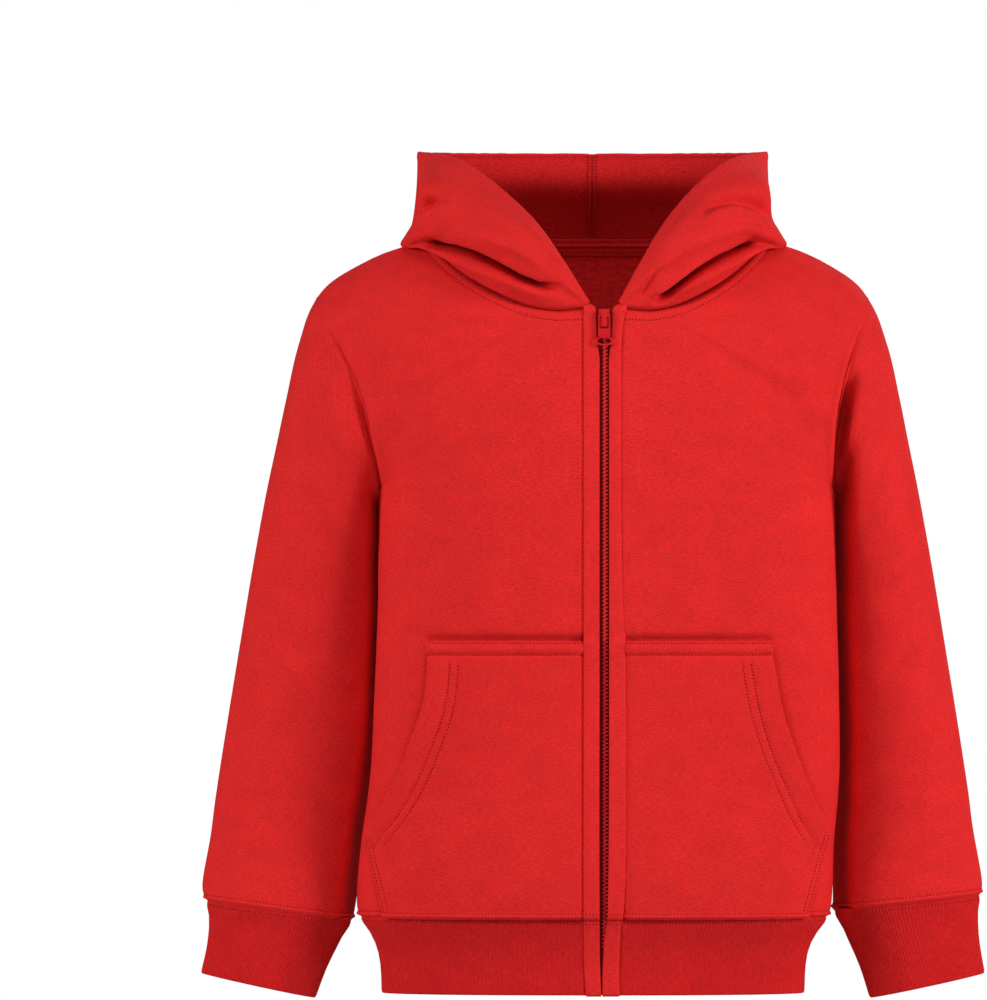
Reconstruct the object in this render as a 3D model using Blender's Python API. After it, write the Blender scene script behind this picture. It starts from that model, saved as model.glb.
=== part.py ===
"""Kids' zip hoodie with a patch pocket, filled out as if it were worn, and open inside.

Units here are millimetres, turned to metres where a mesh is made. +Z is up and the front faces -Y.
"left" and "right" are the wearer's: the wearer's right side lies at -X. The origin is on the middle
plane at the height of the shoulder points, where a wearer's shoulders carry the garment.

Each cut piece is first a net of points on the outside of the cloth, in rows and columns. Nets that are
sewn together share the points of their seam, so the seam has one direction for both walls. A wall
follows from its net: the outer face, the inner face, and the cut edges drawn back by half a seam gap.
"""

import bmesh
import bpy
import numpy as np
from math import cos, pi, radians, sin

MM = 0.001
SIDES = {"right": -1, "left": 1}

# cloth, mm
BODY_CLOTH = 2.4
RIB_CLOTH = 3.0
HOOD_CLOTH = 2.6
HOOD_PINCH = 0.9
BAND_CLOTH = 3.0
BAND_LIFT = 0.7
TAPE_CLOTH = 1.0
SEAM_GAP = 0.3
# where the two sides of a seam lean towards each other by this much or more, they part inside
VALLEY_FROM = 0.05
VALLEY_TO = 0.25

# colours, linear
RED = (0.63, 0.014, 0.018)
RED_RIB = (0.60, 0.012, 0.016)
RED_TRIM = (0.56, 0.010, 0.015)

# zip and the bands beside it, mm
ZIP_X = 7.2
ZIP_HALF = 3.3
BAND_SEAM = 13.5
TEETH_WIDE = 4.4
TEETH_TOP_Z = -53.0
TEETH_THICK = 2.2
TAPE_GAP = 0.3
TAPE_WEDGE_GAP = 0.9
TAPE_WIDE = 13.0

# heights, mm
UNDERARM_Z = -172.0
NECK_FRONT_Z = -45.5
NECK_BACK_Z = 2.0
POCKET_TOP_Z = -276.5
SIDE_Y = -6.0

# how round the body is: 2 is an ellipse, more is squarer
BODY_ROUND = 2.3

# z, middle x, half width, depth in front of the side seam, depth behind it
BODY = (
    (-523.0, 0.0, 147.7, 64.0, 78.0),
    (-504.0, 0.0, 148.5, 65.0, 79.0),
    (-490.0, 0.0, 151.5, 68.0, 82.0),
    (-477.0, 0.5, 158.5, 72.5, 87.5),
    (-470.0, 0.5, 164.0, 75.5, 91.0),
    (-455.0, 1.0, 165.8, 78.0, 94.0),
    (-420.0, 3.0, 165.2, 79.0, 94.5),
    (-375.0, 8.0, 164.0, 79.5, 94.0),
    (-318.0, 9.5, 162.5, 80.5, 93.5),
    (-256.0, 10.0, 160.5, 82.0, 92.5),
    (-172.0, 9.5, 159.5, 84.0, 94.0),
)
# heights of the rows of points from the hem seam to the underarm
BODY_ROWS = (-470.0, -461.0, -446.0, -428.0, -411.0, -389.0, -367.0, -345.0, -322.0, -299.0,
             -276.5, -243.0, -207.0, -172.0)
# middle of the front above the underarm: z, y
FRONT_LINE = ((-172.0, -90.0), (-125.0, -88.5), (-85.0, -84.0), (-45.5, -77.0))
# middle of the back above the underarm: z, y
BACK_LINE = ((-172.0, 88.0), (-125.0, 89.0), (-80.0, 84.0), (-40.0, 76.0), (-10.0, 68.0), (2.0, 62.5))
# armhole from the underarm to the shoulder point:
# share of the way, z, middle x, half width in front, y in front, half width behind, y behind
ARMHOLE = (
    (0.00, -172.0, 9.5, 159.5, -6.0, 159.5, -6.0),
    (0.10, -167.5, 9.3, 158.8, -25.0, 160.0, 14.0),
    (0.20, -155.0, 8.6, 159.5, -39.5, 162.0, 33.0),
    (0.35, -132.0, 6.8, 162.5, -50.0, 167.0, 49.0),
    (0.50, -108.0, 5.8, 167.0, -52.0, 171.0, 55.0),
    (0.65, -84.0, 3.8, 174.5, -47.0, 178.0, 52.0),
    (0.80, -57.0, 1.0, 186.0, -33.0, 188.0, 39.0),
    (0.90, -43.0, -0.3, 191.0, -17.0, 191.5, 23.0),
    (1.00, -37.0, -0.5, 192.5, 3.0, 192.5, 3.0),
)
# neckline from the band to the shoulder: middle x, out from it, y, z
NECK_FRONT = (
    (7.2, 13.5, -77.0, -45.5),
    (6.6, 32.0, -75.5, -47.0),
    (5.6, 52.0, -71.0, -43.5),
    (4.6, 72.0, -62.0, -35.0),
    (3.6, 92.0, -47.0, -22.5),
    (2.8, 108.5, -28.0, -7.0),
    (2.4, 117.0, -4.0, 3.5),
)
# neckline from the shoulder to the middle of the back: middle x, out from it, y, z
NECK_BACK = (
    (2.4, 117.0, -4.0, 3.5),
    (2.0, 112.0, 22.0, 4.0),
    (1.4, 94.0, 44.0, 3.0),
    (0.8, 66.0, 55.0, 2.3),
    (0.4, 34.0, 61.0, 2.0),
    (0.0, 0.0, 62.5, 2.0),
)

FRONT_COLUMNS = 9
BACK_NECK_COLUMNS = 6
ARMHOLE_STEPS = 10
NECK_STEPS = 7
UNDERARM_ROW = len(BODY_ROWS) - 1
NECK_ROW = UNDERARM_ROW + ARMHOLE_STEPS - NECK_STEPS
TOP_ROW = UNDERARM_ROW + ARMHOLE_STEPS
SHOULDER_TURN = radians(34)
CHEST_BULGE = 5.0
SHOULDER_RISE = 6.0
# how late below the top the back bends to meet the neckline and the shoulder seams
YOKE_POWER = 2.5
# the share of the armhole where lines across the body start to flatten towards the shoulder
FLATTEN_FROM = 0.35
# the most that a line may be cut short of its side
LEAST_TURN_DEPTH = 0.9


def smooth(at, places, values):
    """A cubic through a table's rows, whose places rise; values may have several columns."""
    places = np.asarray(places, float)
    values = np.asarray(values, float)
    slopes = np.gradient(values, places, axis=0)
    at = min(max(at, places[0]), places[-1])
    low = min(max(int(np.searchsorted(places, at)) - 1, 0), len(places) - 2)
    step = places[low + 1] - places[low]
    t = (at - places[low]) / step
    ease = t * t * (3 - 2 * t)
    return (values[low] * (1 - ease) + values[low + 1] * ease
            + step * slopes[low] * t * (1 - t) ** 2 - step * slopes[low + 1] * t * t * (1 - t))


def read(rows, at):
    """The columns of a table at a place along its first column."""
    rows = np.asarray(rows, float)
    return smooth(at, rows[:, 0], rows[:, 1:])


def along(rows, share):
    """A point on the smooth line through the rows, at a share of its length."""
    rows = np.asarray(rows, float)
    steps = np.linalg.norm(np.diff(rows, axis=0), axis=1)
    places = np.concatenate(([0.0], np.cumsum(steps)))
    return smooth(share * places[-1], places, rows)


def ease(share):
    share = min(max(share, 0.0), 1.0)
    return share * share * (3 - 2 * share)


# ---------------------------------------------------------------- body nets

def body_line(inner, outer, turn, bulge, share):
    """A level line of the body, from its middle to its side.

    turn is how far it rounds, pi / 2 at a full side.
    """
    power = 2 / BODY_ROUND
    angle = share * turn
    wide = sin(angle) ** power / sin(turn) ** power
    last = max(cos(turn), 0.0) ** power
    deep = (max(cos(angle), 0.0) ** power - last) / (1 - last)
    sign = 1 if inner[1] > outer[1] else -1
    return np.array((inner[0] + (outer[0] - inner[0]) * wide,
                     outer[1] + (inner[1] - outer[1]) * deep + sign * bulge * sin(pi * share),
                     inner[2] + (outer[2] - inner[2]) * share))


def row_share(row):
    return max(0.0, (row - UNDERARM_ROW) / ARMHOLE_STEPS)


def armhole_point(side, share, behind):
    z, middle, half_front, y_front, half_back, y_back = read(ARMHOLE, share)
    if behind:
        return np.array((middle + side * half_back, y_back, z))
    return np.array((middle + side * half_front, y_front, z))


def side_point(side, row, behind):
    if row <= UNDERARM_ROW:
        z = BODY_ROWS[row]
        middle, half, front, back = read(BODY, z)
        return np.array((middle + side * half, SIDE_Y, z))
    return armhole_point(side, row_share(row), behind)


def neck_point(side, share, behind):
    middle, out, y, z = along(NECK_BACK if behind else NECK_FRONT, share)
    return np.array((middle + side * out, y, z))


def front_middle_y(z):
    if z >= UNDERARM_Z:
        return read(FRONT_LINE, z)[0]
    return SIDE_Y - read(BODY, z)[2]


def band_seam_point(side, row):
    """The front's inner edge: up the band's seam, then along the neckline."""
    if row >= NECK_ROW:
        return neck_point(side, (row - NECK_ROW) / NECK_STEPS, False)
    if row <= UNDERARM_ROW:
        z = BODY_ROWS[row]
    else:
        share = (row - UNDERARM_ROW) / (NECK_ROW - UNDERARM_ROW)
        z = UNDERARM_Z + (NECK_FRONT_Z - UNDERARM_Z) * share
    return np.array((ZIP_X + side * BAND_SEAM, front_middle_y(z), z))


def turn_at(row, inner, outer):
    """How far round a line goes: as far as its outer end on a full side, and less near the shoulder."""
    depth = min(max((SIDE_Y - outer[1]) / (SIDE_Y - inner[1]), 0.0), LEAST_TURN_DEPTH)
    full = np.arccos(depth ** (BODY_ROUND / 2))
    return full + (SHOULDER_TURN - full) * ease((row_share(row) - FLATTEN_FROM) / (1 - FLATTEN_FROM))


def bulge_at(row):
    return CHEST_BULGE * sin(pi * row_share(row)) ** 2


def front_net(side):
    rows = []
    for row in range(TOP_ROW + 1):
        inner = band_seam_point(side, row)
        outer = side_point(side, row, False)
        turn = turn_at(row, inner, outer)
        rows.append([body_line(inner, outer, turn, bulge_at(row), column / FRONT_COLUMNS)
                     for column in range(FRONT_COLUMNS + 1)])
    net = np.array(rows)
    rise = SHOULDER_RISE * np.sin(pi * np.arange(FRONT_COLUMNS + 1) / FRONT_COLUMNS)
    for row in range(NECK_ROW, TOP_ROW + 1):
        net[row][:, 2] += rise * ((row - NECK_ROW) / NECK_STEPS) ** 2
    return net


def back_half(side, shoulder):
    """From the middle of the back to one side; shoulder is the front's top row, which it meets."""
    columns = BACK_NECK_COLUMNS + FRONT_COLUMNS
    rows = []
    for row in range(TOP_ROW + 1):
        if row <= UNDERARM_ROW:
            z = BODY_ROWS[row]
            middle, half, front, back = read(BODY, z)
            inner = np.array((middle, SIDE_Y + back, z))
        else:
            z = UNDERARM_Z + (NECK_BACK_Z - UNDERARM_Z) * row_share(row)
            middle = read(BODY, UNDERARM_Z)[0] * (1 - row_share(row))
            inner = np.array((middle, read(BACK_LINE, z)[0], z))
        outer = side_point(side, row, True)
        turn = turn_at(row, inner, outer)
        rows.append([body_line(inner, outer, turn, bulge_at(row), column / columns)
                     for column in range(columns + 1)])
    net = np.array(rows)
    top = [neck_point(side, 1 - column / BACK_NECK_COLUMNS, True) for column in range(BACK_NECK_COLUMNS)]
    top = np.array(top + list(shoulder))
    shift = top - net[TOP_ROW]
    reach = TOP_ROW - UNDERARM_ROW
    for row in range(UNDERARM_ROW + 1, TOP_ROW + 1):
        net[row] += shift * ((row - UNDERARM_ROW) / reach) ** YOKE_POWER
        net[row][-1] = side_point(side, row, True)
    return net


def back_net(fronts):
    halves = {name: back_half(side, fronts[name][TOP_ROW]) for name, side in SIDES.items()}
    return np.concatenate((halves["right"][:, :0:-1], halves["left"]), axis=1)


# ---------------------------------------------------------------- sleeves, cuffs and waistband

# sleeve from just below the armhole to the cuff seam:
# outer edge x, z, inner edge x, z, middle y, half depth
SLEEVE = {
    "right": (
        (207.5, -74.0, 153.0, -184.0, 9.0, 57.0),
        (217.0, -118.0, 151.0, -199.0, 16.0, 55.0),
        (228.0, -168.0, 149.0, -224.0, 24.0, 52.0),
        (238.0, -222.0, 147.5, -256.0, 27.0, 49.0),
        (247.0, -276.0, 149.0, -300.0, 28.0, 46.5),
        (256.0, -331.0, 151.5, -348.0, 27.0, 44.0),
        (263.9, -381.5, 157.5, -392.0, 25.0, 42.0),
        (270.5, -430.0, 164.0, -440.0, 19.0, 40.0),
        (274.2, -451.0, 166.5, -464.0, 11.0, 38.5),
        (271.0, -459.0, 168.5, -473.0, 8.0, 36.0),
    ),
    "left": (
        (207.5, -74.0, 171.5, -184.0, 8.0, 57.0),
        (217.0, -118.0, 170.5, -200.0, 15.0, 56.0),
        (227.5, -168.0, 169.5, -225.0, 22.0, 54.0),
        (237.5, -222.0, 169.0, -258.0, 26.0, 51.5),
        (246.5, -276.0, 169.5, -302.0, 27.0, 49.5),
        (255.5, -331.0, 170.0, -350.0, 26.0, 47.0),
        (263.2, -381.5, 169.5, -394.0, 23.0, 45.0),
        (269.8, -430.0, 168.0, -440.0, 16.0, 42.0),
        (273.4, -448.0, 169.0, -457.0, 10.0, 39.0),
        (271.5, -455.0, 168.5, -466.5, 8.0, 36.0),
    ),
}
# rib cuff below its seam, the same columns
CUFF = {
    "right": (
        (269.0, -467.0, 174.5, -482.0, 7.0, 31.5),
        (268.8, -478.0, 180.0, -492.5, 5.5, 29.5),
        (270.4, -492.0, 187.0, -507.0, 4.5, 28.5),
        (274.4, -509.6, 194.5, -527.0, 4.0, 28.0),
    ),
    "left": (
        (269.8, -463.0, 174.0, -475.5, 7.0, 31.5),
        (269.6, -475.0, 180.0, -489.0, 5.5, 29.5),
        (270.8, -490.0, 187.0, -505.0, 4.5, 28.5),
        (274.2, -509.6, 194.0, -527.0, 4.0, 28.0),
    ),
}
SLEEVE_ROUND = 2.15
SLEEVE_RINGS = 15
RING_POINTS = 2 * ARMHOLE_STEPS
RIB_ROWS = (-470.0, -477.0, -490.0, -504.0, -523.0)


def ring(side, section):
    """A loop of a sleeve: from its outer edge over the front, the inner edge and the back."""
    outer_x, outer_z, inner_x, inner_z, y, depth = section
    power = 2 / SLEEVE_ROUND
    points = []
    for step in range(RING_POINTS):
        angle = 2 * pi * step / RING_POINTS
        across = (1 + np.sign(cos(angle)) * abs(cos(angle)) ** power) / 2
        deep = np.sign(sin(angle)) * abs(sin(angle)) ** power
        points.append((side * (inner_x + (outer_x - inner_x) * across), y - depth * deep,
                       inner_z + (outer_z - inner_z) * across))
    return np.array(points)


def armhole_ring(side):
    front = [armhole_point(side, 1 - step / ARMHOLE_STEPS, False) for step in range(ARMHOLE_STEPS + 1)]
    back = [armhole_point(side, step / ARMHOLE_STEPS, True) for step in range(1, ARMHOLE_STEPS)]
    return np.array(front + back)


def sleeve_net(name, side):
    rings = [armhole_ring(side)] + [ring(side, section) for section in SLEEVE[name]]
    middles = np.array([loop.mean(axis=0) for loop in rings])
    places = np.concatenate(([0.0], np.cumsum(np.linalg.norm(np.diff(middles, axis=0), axis=1))))
    flat = np.array(rings).reshape(len(rings), -1)
    rows = []
    for step in range(SLEEVE_RINGS + 1):
        share = step / SLEEVE_RINGS
        rows.append(smooth(share * places[-1], places, flat).reshape(-1, 3))
    # the tuck above the cuff keeps its depth between the even steps
    rows[-2] = rings[-2] * 0.7 + rows[-2] * 0.3
    return np.array(rows)


def cuff_net(name, side):
    return np.array([ring(side, section) for section in (SLEEVE[name][-1],) + CUFF[name]])


def level_row(z):
    """One level loop of the body: right band seam, right side, back, left side, left band seam."""
    middle, half, front, back = read(BODY, z)
    points = []
    for side in (SIDES["right"], SIDES["left"]):
        inner = np.array((ZIP_X + side * BAND_SEAM, SIDE_Y - front, z))
        behind = np.array((middle, SIDE_Y + back, z))
        outer = np.array((middle + side * half, SIDE_Y, z))
        columns = BACK_NECK_COLUMNS + FRONT_COLUMNS
        before = [body_line(inner, outer, pi / 2, 0, step / FRONT_COLUMNS)
                  for step in range(FRONT_COLUMNS + 1)]
        after = [body_line(behind, outer, pi / 2, 0, step / columns) for step in range(columns)]
        half_loop = before + after[::-1]
        points += half_loop if side < 0 else half_loop[-2::-1]
    return np.array(points)


def rib_net():
    return np.array([level_row(z) for z in RIB_ROWS])


# ---------------------------------------------------------------- hood

# The hood lies back off the head: it rises from the neckline, folds over itself along a crease, and
# ends at the rim of the face opening; behind, it hangs down the back as a bag.
# share of the neckline from front to back, then for each line of the hood: out, y, z
HOOD_LINES = ("low", "crease", "roll", "shelf", "rim")
HOOD = (
    (0.00, 12.9, -77.6, -44.4, 12.2, -78.0, -43.4, 11.4, -78.4, -42.4,
     10.6, -78.6, -41.4, 9.9, -78.2, -40.4),
    (0.13, 38.0, -80.5, -38.5, 36.5, -79.5, -28.5, 33.5, -84.0, -21.0,
     29.5, -80.5, -14.0, 25.3, -74.0, -14.0),
    (0.27, 69.0, -78.0, -27.0, 62.0, -72.0, -14.0, 58.5, -84.0, -4.0,
     52.5, -76.0, 10.5, 46.5, -56.0, 18.0),
    (0.40, 100.0, -58.0, -13.0, 94.0, -53.0, -1.0, 89.0, -68.0, 9.0, 83.0, -58.0, 29.0, 73.0, -34.0, 45.0),
    (0.54, 128.0, -17.0, 3.5, 132.5, -19.0, 9.5, 125.5, -35.0, 19.0,
     118.5, -30.0, 43.0, 100.0, -5.0, 62.0),
    (0.63, 126.0, 12.0, 4.0, 133.0, 15.0, 9.5, 124.5, 7.0, 22.5, 122.8, 8.0, 45.0, 121.5, 30.0, 66.0),
    (0.70, 116.0, 37.0, 5.0, 127.0, 50.0, -5.0, 128.5, 55.0, 5.0, 124.0, 50.0, 34.0, 121.0, 50.0, 66.5),
    (0.77, 101.0, 57.0, 6.0, 110.0, 84.0, -36.0, 122.0, 106.0, -28.0, 121.5, 92.0, 22.0, 109.0, 68.0, 66.5),
    (0.885, 58.0, 73.0, 0.5, 72.0, 99.0, -80.0, 80.0, 125.0, -80.0, 84.0, 126.0, 0.0, 62.0, 86.0, 66.5),
    (1.00, 0.0, 76.0, -3.5, 0.0, 103.0, -106.0, 0.0, 132.0, -106.0, 0.0, 142.0, -14.0, 0.0, 95.0, 66.5),
)
HOOD_STEPS = 3
# the front of the hood is centred on the zip, the back on the middle of the body
HOOD_MIDDLE = ((0.0, 7.2), (0.27, 4.6), (0.40, 2.0), (0.54, 0.7), (0.65, 0.0), (1.0, 0.0))
# row and column of the sharpest fold at the hood's foot, and how far the thinner cloth reaches from it
FOLD_AT = (5.0, 8.6)
FOLD_REACH = (4.0, 2.2)


def hood_net(side):
    columns = NECK_STEPS + BACK_NECK_COLUMNS
    lines = []
    for column in range(columns + 1):
        share = column / columns
        if column <= NECK_STEPS:
            seam = neck_point(side, column / NECK_STEPS, False)
        else:
            seam = neck_point(side, (column - NECK_STEPS) / BACK_NECK_COLUMNS, True)
        middle = read(HOOD_MIDDLE, share)[0]
        points = read(HOOD, share).reshape(len(HOOD_LINES), 3)
        held = [seam] + [np.array((middle + side * out, y, z)) for out, y, z in points]
        places = np.arange(len(held))
        steps = HOOD_STEPS * len(HOOD_LINES)
        lines.append([smooth(step / HOOD_STEPS, places, np.array(held)) for step in range(steps + 1)])
    return np.array(lines).transpose(1, 0, 2)


def hood_cloth(net):
    """The hood's thickness at every point: thinner where its foot folds sharply beside the shoulder."""
    rows, columns = np.indices(net.shape[:2])
    along_rows = ((rows - FOLD_AT[0]) / FOLD_REACH[0]) ** 2
    along_columns = ((columns - FOLD_AT[1]) / FOLD_REACH[1]) ** 2
    fold = np.exp(-along_rows - along_columns)
    return HOOD_CLOTH - (HOOD_CLOTH - HOOD_PINCH) * fold


# ---------------------------------------------------------------- bands, zip and pocket nets

def strip_net(side, rows, near, far, columns):
    """A strip beside the zip, down the middle of the front; near and far are its edges from the zip."""
    net = []
    for z in rows:
        y = front_middle_y(z)
        outs = [near(z) + (far - near(z)) * step / columns for step in range(columns + 1)]
        net.append([np.array((ZIP_X + side * out, y, z)) for out in outs])
    return np.array(net)


def band_rows():
    return [band_seam_point(1, row)[2] for row in range(NECK_ROW + 1)]


# outline of the pocket: z, distance of its outer edge from the zip
POCKET = {
    "right": ((-470.0, 152.0), (-411.0, 162.5), (-389.0, 150.0), (-367.0, 139.0), (-345.0, 131.0),
              (-322.0, 123.5), (-299.0, 120.5), (-276.5, 119.5)),
    "left": ((-470.0, 140.5), (-411.0, 153.0), (-389.0, 144.0), (-367.0, 135.5), (-345.0, 127.5),
             (-322.0, 121.0), (-299.0, 117.0), (-276.5, 113.5)),
}
POCKET_GAP = 0.6
POCKET_LIP = 1.0
# tape inside the back neck: height, columns of the back on each side of its middle, gap to the back
NECK_TAPE_TALL = 10.0
NECK_TAPE_COLUMNS = 4
NECK_TAPE_GAP = 0.6


def pocket_net(name, front, normals):
    """The front's own points as far as the pocket's outline, so that both bend alike; its free edge
    stands a little away."""
    rows = [row for row, z in enumerate(BODY_ROWS) if z <= POCKET_TOP_Z]
    places, directions, lips = [], [], []
    for row in rows:
        outline = np.interp(BODY_ROWS[row], *np.array(POCKET[name]).T)
        outs = np.abs(front[row][:, 0] - ZIP_X)
        shares = np.minimum(outs, outline)
        lips.append([[POCKET_LIP] if out >= outline else [0.0] for out in outs])
        places.append([[np.interp(share, outs, front[row][:, axis]) for axis in range(3)]
                       for share in shares])
        directions.append([[np.interp(share, outs, normals[row][:, axis]) for axis in range(3)]
                           for share in shares])
    directions = np.array(directions)
    directions /= np.linalg.norm(directions, axis=2, keepdims=True)
    return np.array(places) + directions * np.array(lips), directions


def neck_tape_net(back, normals):
    """A tape inside the back neck, just under the hood's seam."""
    middle = BACK_NECK_COLUMNS + FRONT_COLUMNS
    columns = slice(middle - NECK_TAPE_COLUMNS, middle + NECK_TAPE_COLUMNS + 1)
    share = NECK_TAPE_TALL / np.linalg.norm(back[TOP_ROW][middle] - back[TOP_ROW - 1][middle])
    places, directions = [], []
    for part in (share, share / 2, 0.0):
        places.append(back[TOP_ROW][columns] * (1 - part) + back[TOP_ROW - 1][columns] * part)
        directions.append(normals[TOP_ROW][columns] * (1 - part) + normals[TOP_ROW - 1][columns] * part)
    directions = np.array(directions)
    directions /= np.linalg.norm(directions, axis=2, keepdims=True)
    return np.array(places), directions


# ---------------------------------------------------------------- walls

def quads(net, closed):
    rows, columns = net.shape[:2]
    for row in range(rows - 1):
        for column in range(columns if closed else columns - 1):
            after = (column + 1) % columns
            yield (row, column), (row, after), (row + 1, after), (row + 1, column)


def point_key(point):
    """The same for two points less than about a hundredth of a millimetre apart."""
    return tuple(np.round(point, 2) + 0.0)


def net_sums(net, flip, closed):
    """Summed face directions and summed ways to the faces' middles, for every point of one net."""
    directions, ways = np.zeros_like(net), np.zeros_like(net)
    for a, b, c, d in quads(net, closed):
        face = flip * np.cross(net[c] - net[a], net[d] - net[b])
        middle = (net[a] + net[b] + net[c] + net[d]) / 4
        for corner in (a, b, c, d):
            directions[corner] += face
            ways[corner] += middle - net[corner]
    return directions, ways


def unit(vectors):
    return vectors / np.maximum(np.linalg.norm(vectors, axis=-1, keepdims=True), 1e-9)


def sewn_group(name):
    """The nets that are one sheet for their seams: the body, each sleeve with its cuff, the hood."""
    kind, _, side = name.partition("_")
    if kind in ("sleeve", "cuff"):
        return "sleeve_" + side
    return "hood" if kind == "hood" else "body"


def seam_normals(nets):
    """Outward directions at every point.

    Along a flat seam or a ridge both walls share the mean direction, so they meet in a mitre. Along a
    valley, such as the underarm or the foot of the hood, each keeps its own and they part inside.
    """
    places = {}
    for name, (net, flip, closed) in nets.items():
        directions, ways = net_sums(net, flip, closed)
        for index in np.ndindex(net.shape[:2]):
            groups = places.setdefault(point_key(net[index]), {})
            facing, way = groups.get(sewn_group(name), (0, 0))
            groups[sewn_group(name)] = (facing + directions[index], way + ways[index])
    normals = {}
    for name, (net, flip, closed) in nets.items():
        found = np.zeros_like(net)
        for index in np.ndindex(net.shape[:2]):
            groups = places[point_key(net[index])]
            mean = unit(sum(facing for facing, way in groups.values()))
            own = unit(groups[sewn_group(name)][0])
            depths = [float(np.dot(unit(groups[one][0]), unit(groups[other][1])))
                      for one in groups for other in groups if one != other]
            depth = max(depths, default=0.0) if "hood" in groups else sum(depths) / max(len(depths), 1)
            valley = ease((depth - VALLEY_FROM) / (VALLEY_TO - VALLEY_FROM))
            found[index] = unit(mean * (1 - valley) + own * valley)
        normals[name] = found
    return normals


# a corner's two seams count as at least this far from parallel
LEAST_SQUARE = 0.25


def drawn_back(net, normals, closed, gap):
    """The net with each open edge moved into its own cloth, square to the seam, by half a seam gap."""

    def draw(edge, inside, directions, round_loop=False):
        runs = unit(np.diff(edge, axis=0))
        joint = unit(edge[:1] - edge[-1:])
        before = np.concatenate((joint if round_loop else runs[:1], runs))
        after = np.concatenate((runs, joint if round_loop else runs[-1:]))
        before, after = np.cross(directions, before), np.cross(directions, after)
        inward = np.sign(((before + after) * (inside - edge)).sum(axis=1, keepdims=True))
        mitre = (before + after) / (1 + (before * after).sum(axis=1, keepdims=True))
        return mitre * inward * gap / 2

    across = {row: draw(net[row], net[row - 1 if row else 1], normals[row], closed) for row in (0, -1)}
    moved = net.copy()
    for row, steps in across.items():
        moved[row] += steps
    if closed:
        return moved
    for column in (0, -1):
        steps = draw(net[:, column], net[:, column - 1 if column else 1], normals[:, column])
        moved[1:-1, column] += steps[1:-1]
        for row in (0, -1):
            one, other = across[row][column], steps[row]
            square = 1 + float(np.dot(one, other)) / (gap / 2) ** 2
            moved[row, column] = net[row, column] + (one + other) / max(square, LEAST_SQUARE)
    return moved


def material(name, colour, roughness, metallic=0.0):
    made = bpy.data.materials.new(name)
    made.use_nodes = True
    shader = made.node_tree.nodes["Principled BSDF"]
    shader.inputs["Base Color"].default_value = (*colour, 1.0)
    shader.inputs["Roughness"].default_value = roughness
    shader.inputs["Metallic"].default_value = metallic
    return made


def place(name, mesh, colour, roughness=0.9):
    body = bpy.data.objects.new(name, mesh)
    bpy.context.scene.collection.objects.link(body)
    body.data.materials.append(material(name + "_material", colour, roughness))
    body.parent = bpy.data.objects["hoodie"]
    return body


def wall(name, net, normals, thickness, colour, flip=1, closed=False, lift=0.0, gap=SEAM_GAP):
    """A closed wall of cloth: the net moved out by lift, and the same net one thickness further in."""
    base = drawn_back(net, normals, closed, gap)
    depth = np.broadcast_to(thickness, net.shape[:2])[..., None]
    layers = (base + normals * lift, base + normals * (lift - depth))
    rows, columns = net.shape[:2]
    cloth = bmesh.new()
    verts = [[[cloth.verts.new(point * MM) for point in row] for row in layer] for layer in layers]

    def face(*corners):
        cloth.faces.new(corners if flip > 0 else corners[::-1])

    for a, b, c, d in quads(net, closed):
        outer, inner = ([layer[row][column] for row, column in (a, b, c, d)] for layer in verts)
        face(*outer)
        face(*inner[::-1])
    outer, inner = verts
    for column in range(columns if closed else columns - 1):
        after = (column + 1) % columns
        face(inner[0][column], inner[0][after], outer[0][after], outer[0][column])
        face(outer[-1][column], outer[-1][after], inner[-1][after], inner[-1][column])
    if not closed:
        for row in range(rows - 1):
            face(outer[row][0], outer[row + 1][0], inner[row + 1][0], inner[row][0])
            face(inner[row][-1], inner[row + 1][-1], outer[row + 1][-1], outer[row][-1])
    bmesh.ops.remove_doubles(cloth, verts=cloth.verts, dist=1e-6)
    # the short way across, so that two cut edges that face each other split alike
    bmesh.ops.triangulate(cloth, faces=cloth.faces, quad_method="SHORT_EDGE")
    mesh = bpy.data.meshes.new(name)
    cloth.to_mesh(mesh)
    cloth.free()
    mesh.shade_smooth()
    mesh.set_sharp_from_angle(angle=radians(50))
    return place(name, mesh, colour)


# ---------------------------------------------------------------- slider and pull tab

SLIDER_Z = -54.6
SLIDER_WIDE = 9.6
SLIDER_TALL = 17.0
SLIDER_ROUND = 1.0
PLATE_THICK = 1.2
PLATE_LIFT = 1.1
# the wedge that joins the slider's two plates above the teeth
WEDGE_WIDE = 2.6
WEDGE_TALL = 4.5
WEDGE_BELOW_TOP = 0.3
# the bridge that holds the tab
BRIDGE_WIDE = 3.6
BRIDGE_TOP = 7.6
BRIDGE_LOW = -3.6
BRIDGE_BAR = 1.2
# how far joined shapes reach into each other
SUNK = 0.25
# the tab's hinge, from the middle of the slider's outer plate
HINGE_UP = 3.4
HINGE_OUT = 1.35
TAB_THICK = 1.4
TAB_BAR = 0.8
TAB_WIDE = 9.6
TAB_TALL = 10.6
TAB_WINDOW = 5.0
TAB_HEAD = 0.35
TAB_FOOT_TALL = 1.8
RING_WIDE = 13.2
RING_TALL = 7.4
RING_HOLE_WIDE = 9.2
RING_HOLE_TALL = 4.2
RING_THICK = 1.6
RING_OVER_TAB = 1.6


def box(low, high):
    """A new shape holding one block."""
    cloth = bmesh.new()
    made = bmesh.ops.create_cube(cloth, size=1.0)["verts"]
    for vert in made:
        vert.co = [a + (b - a) * (co + 0.5) for a, b, co in zip(low, high, vert.co)]
    return cloth


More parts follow.
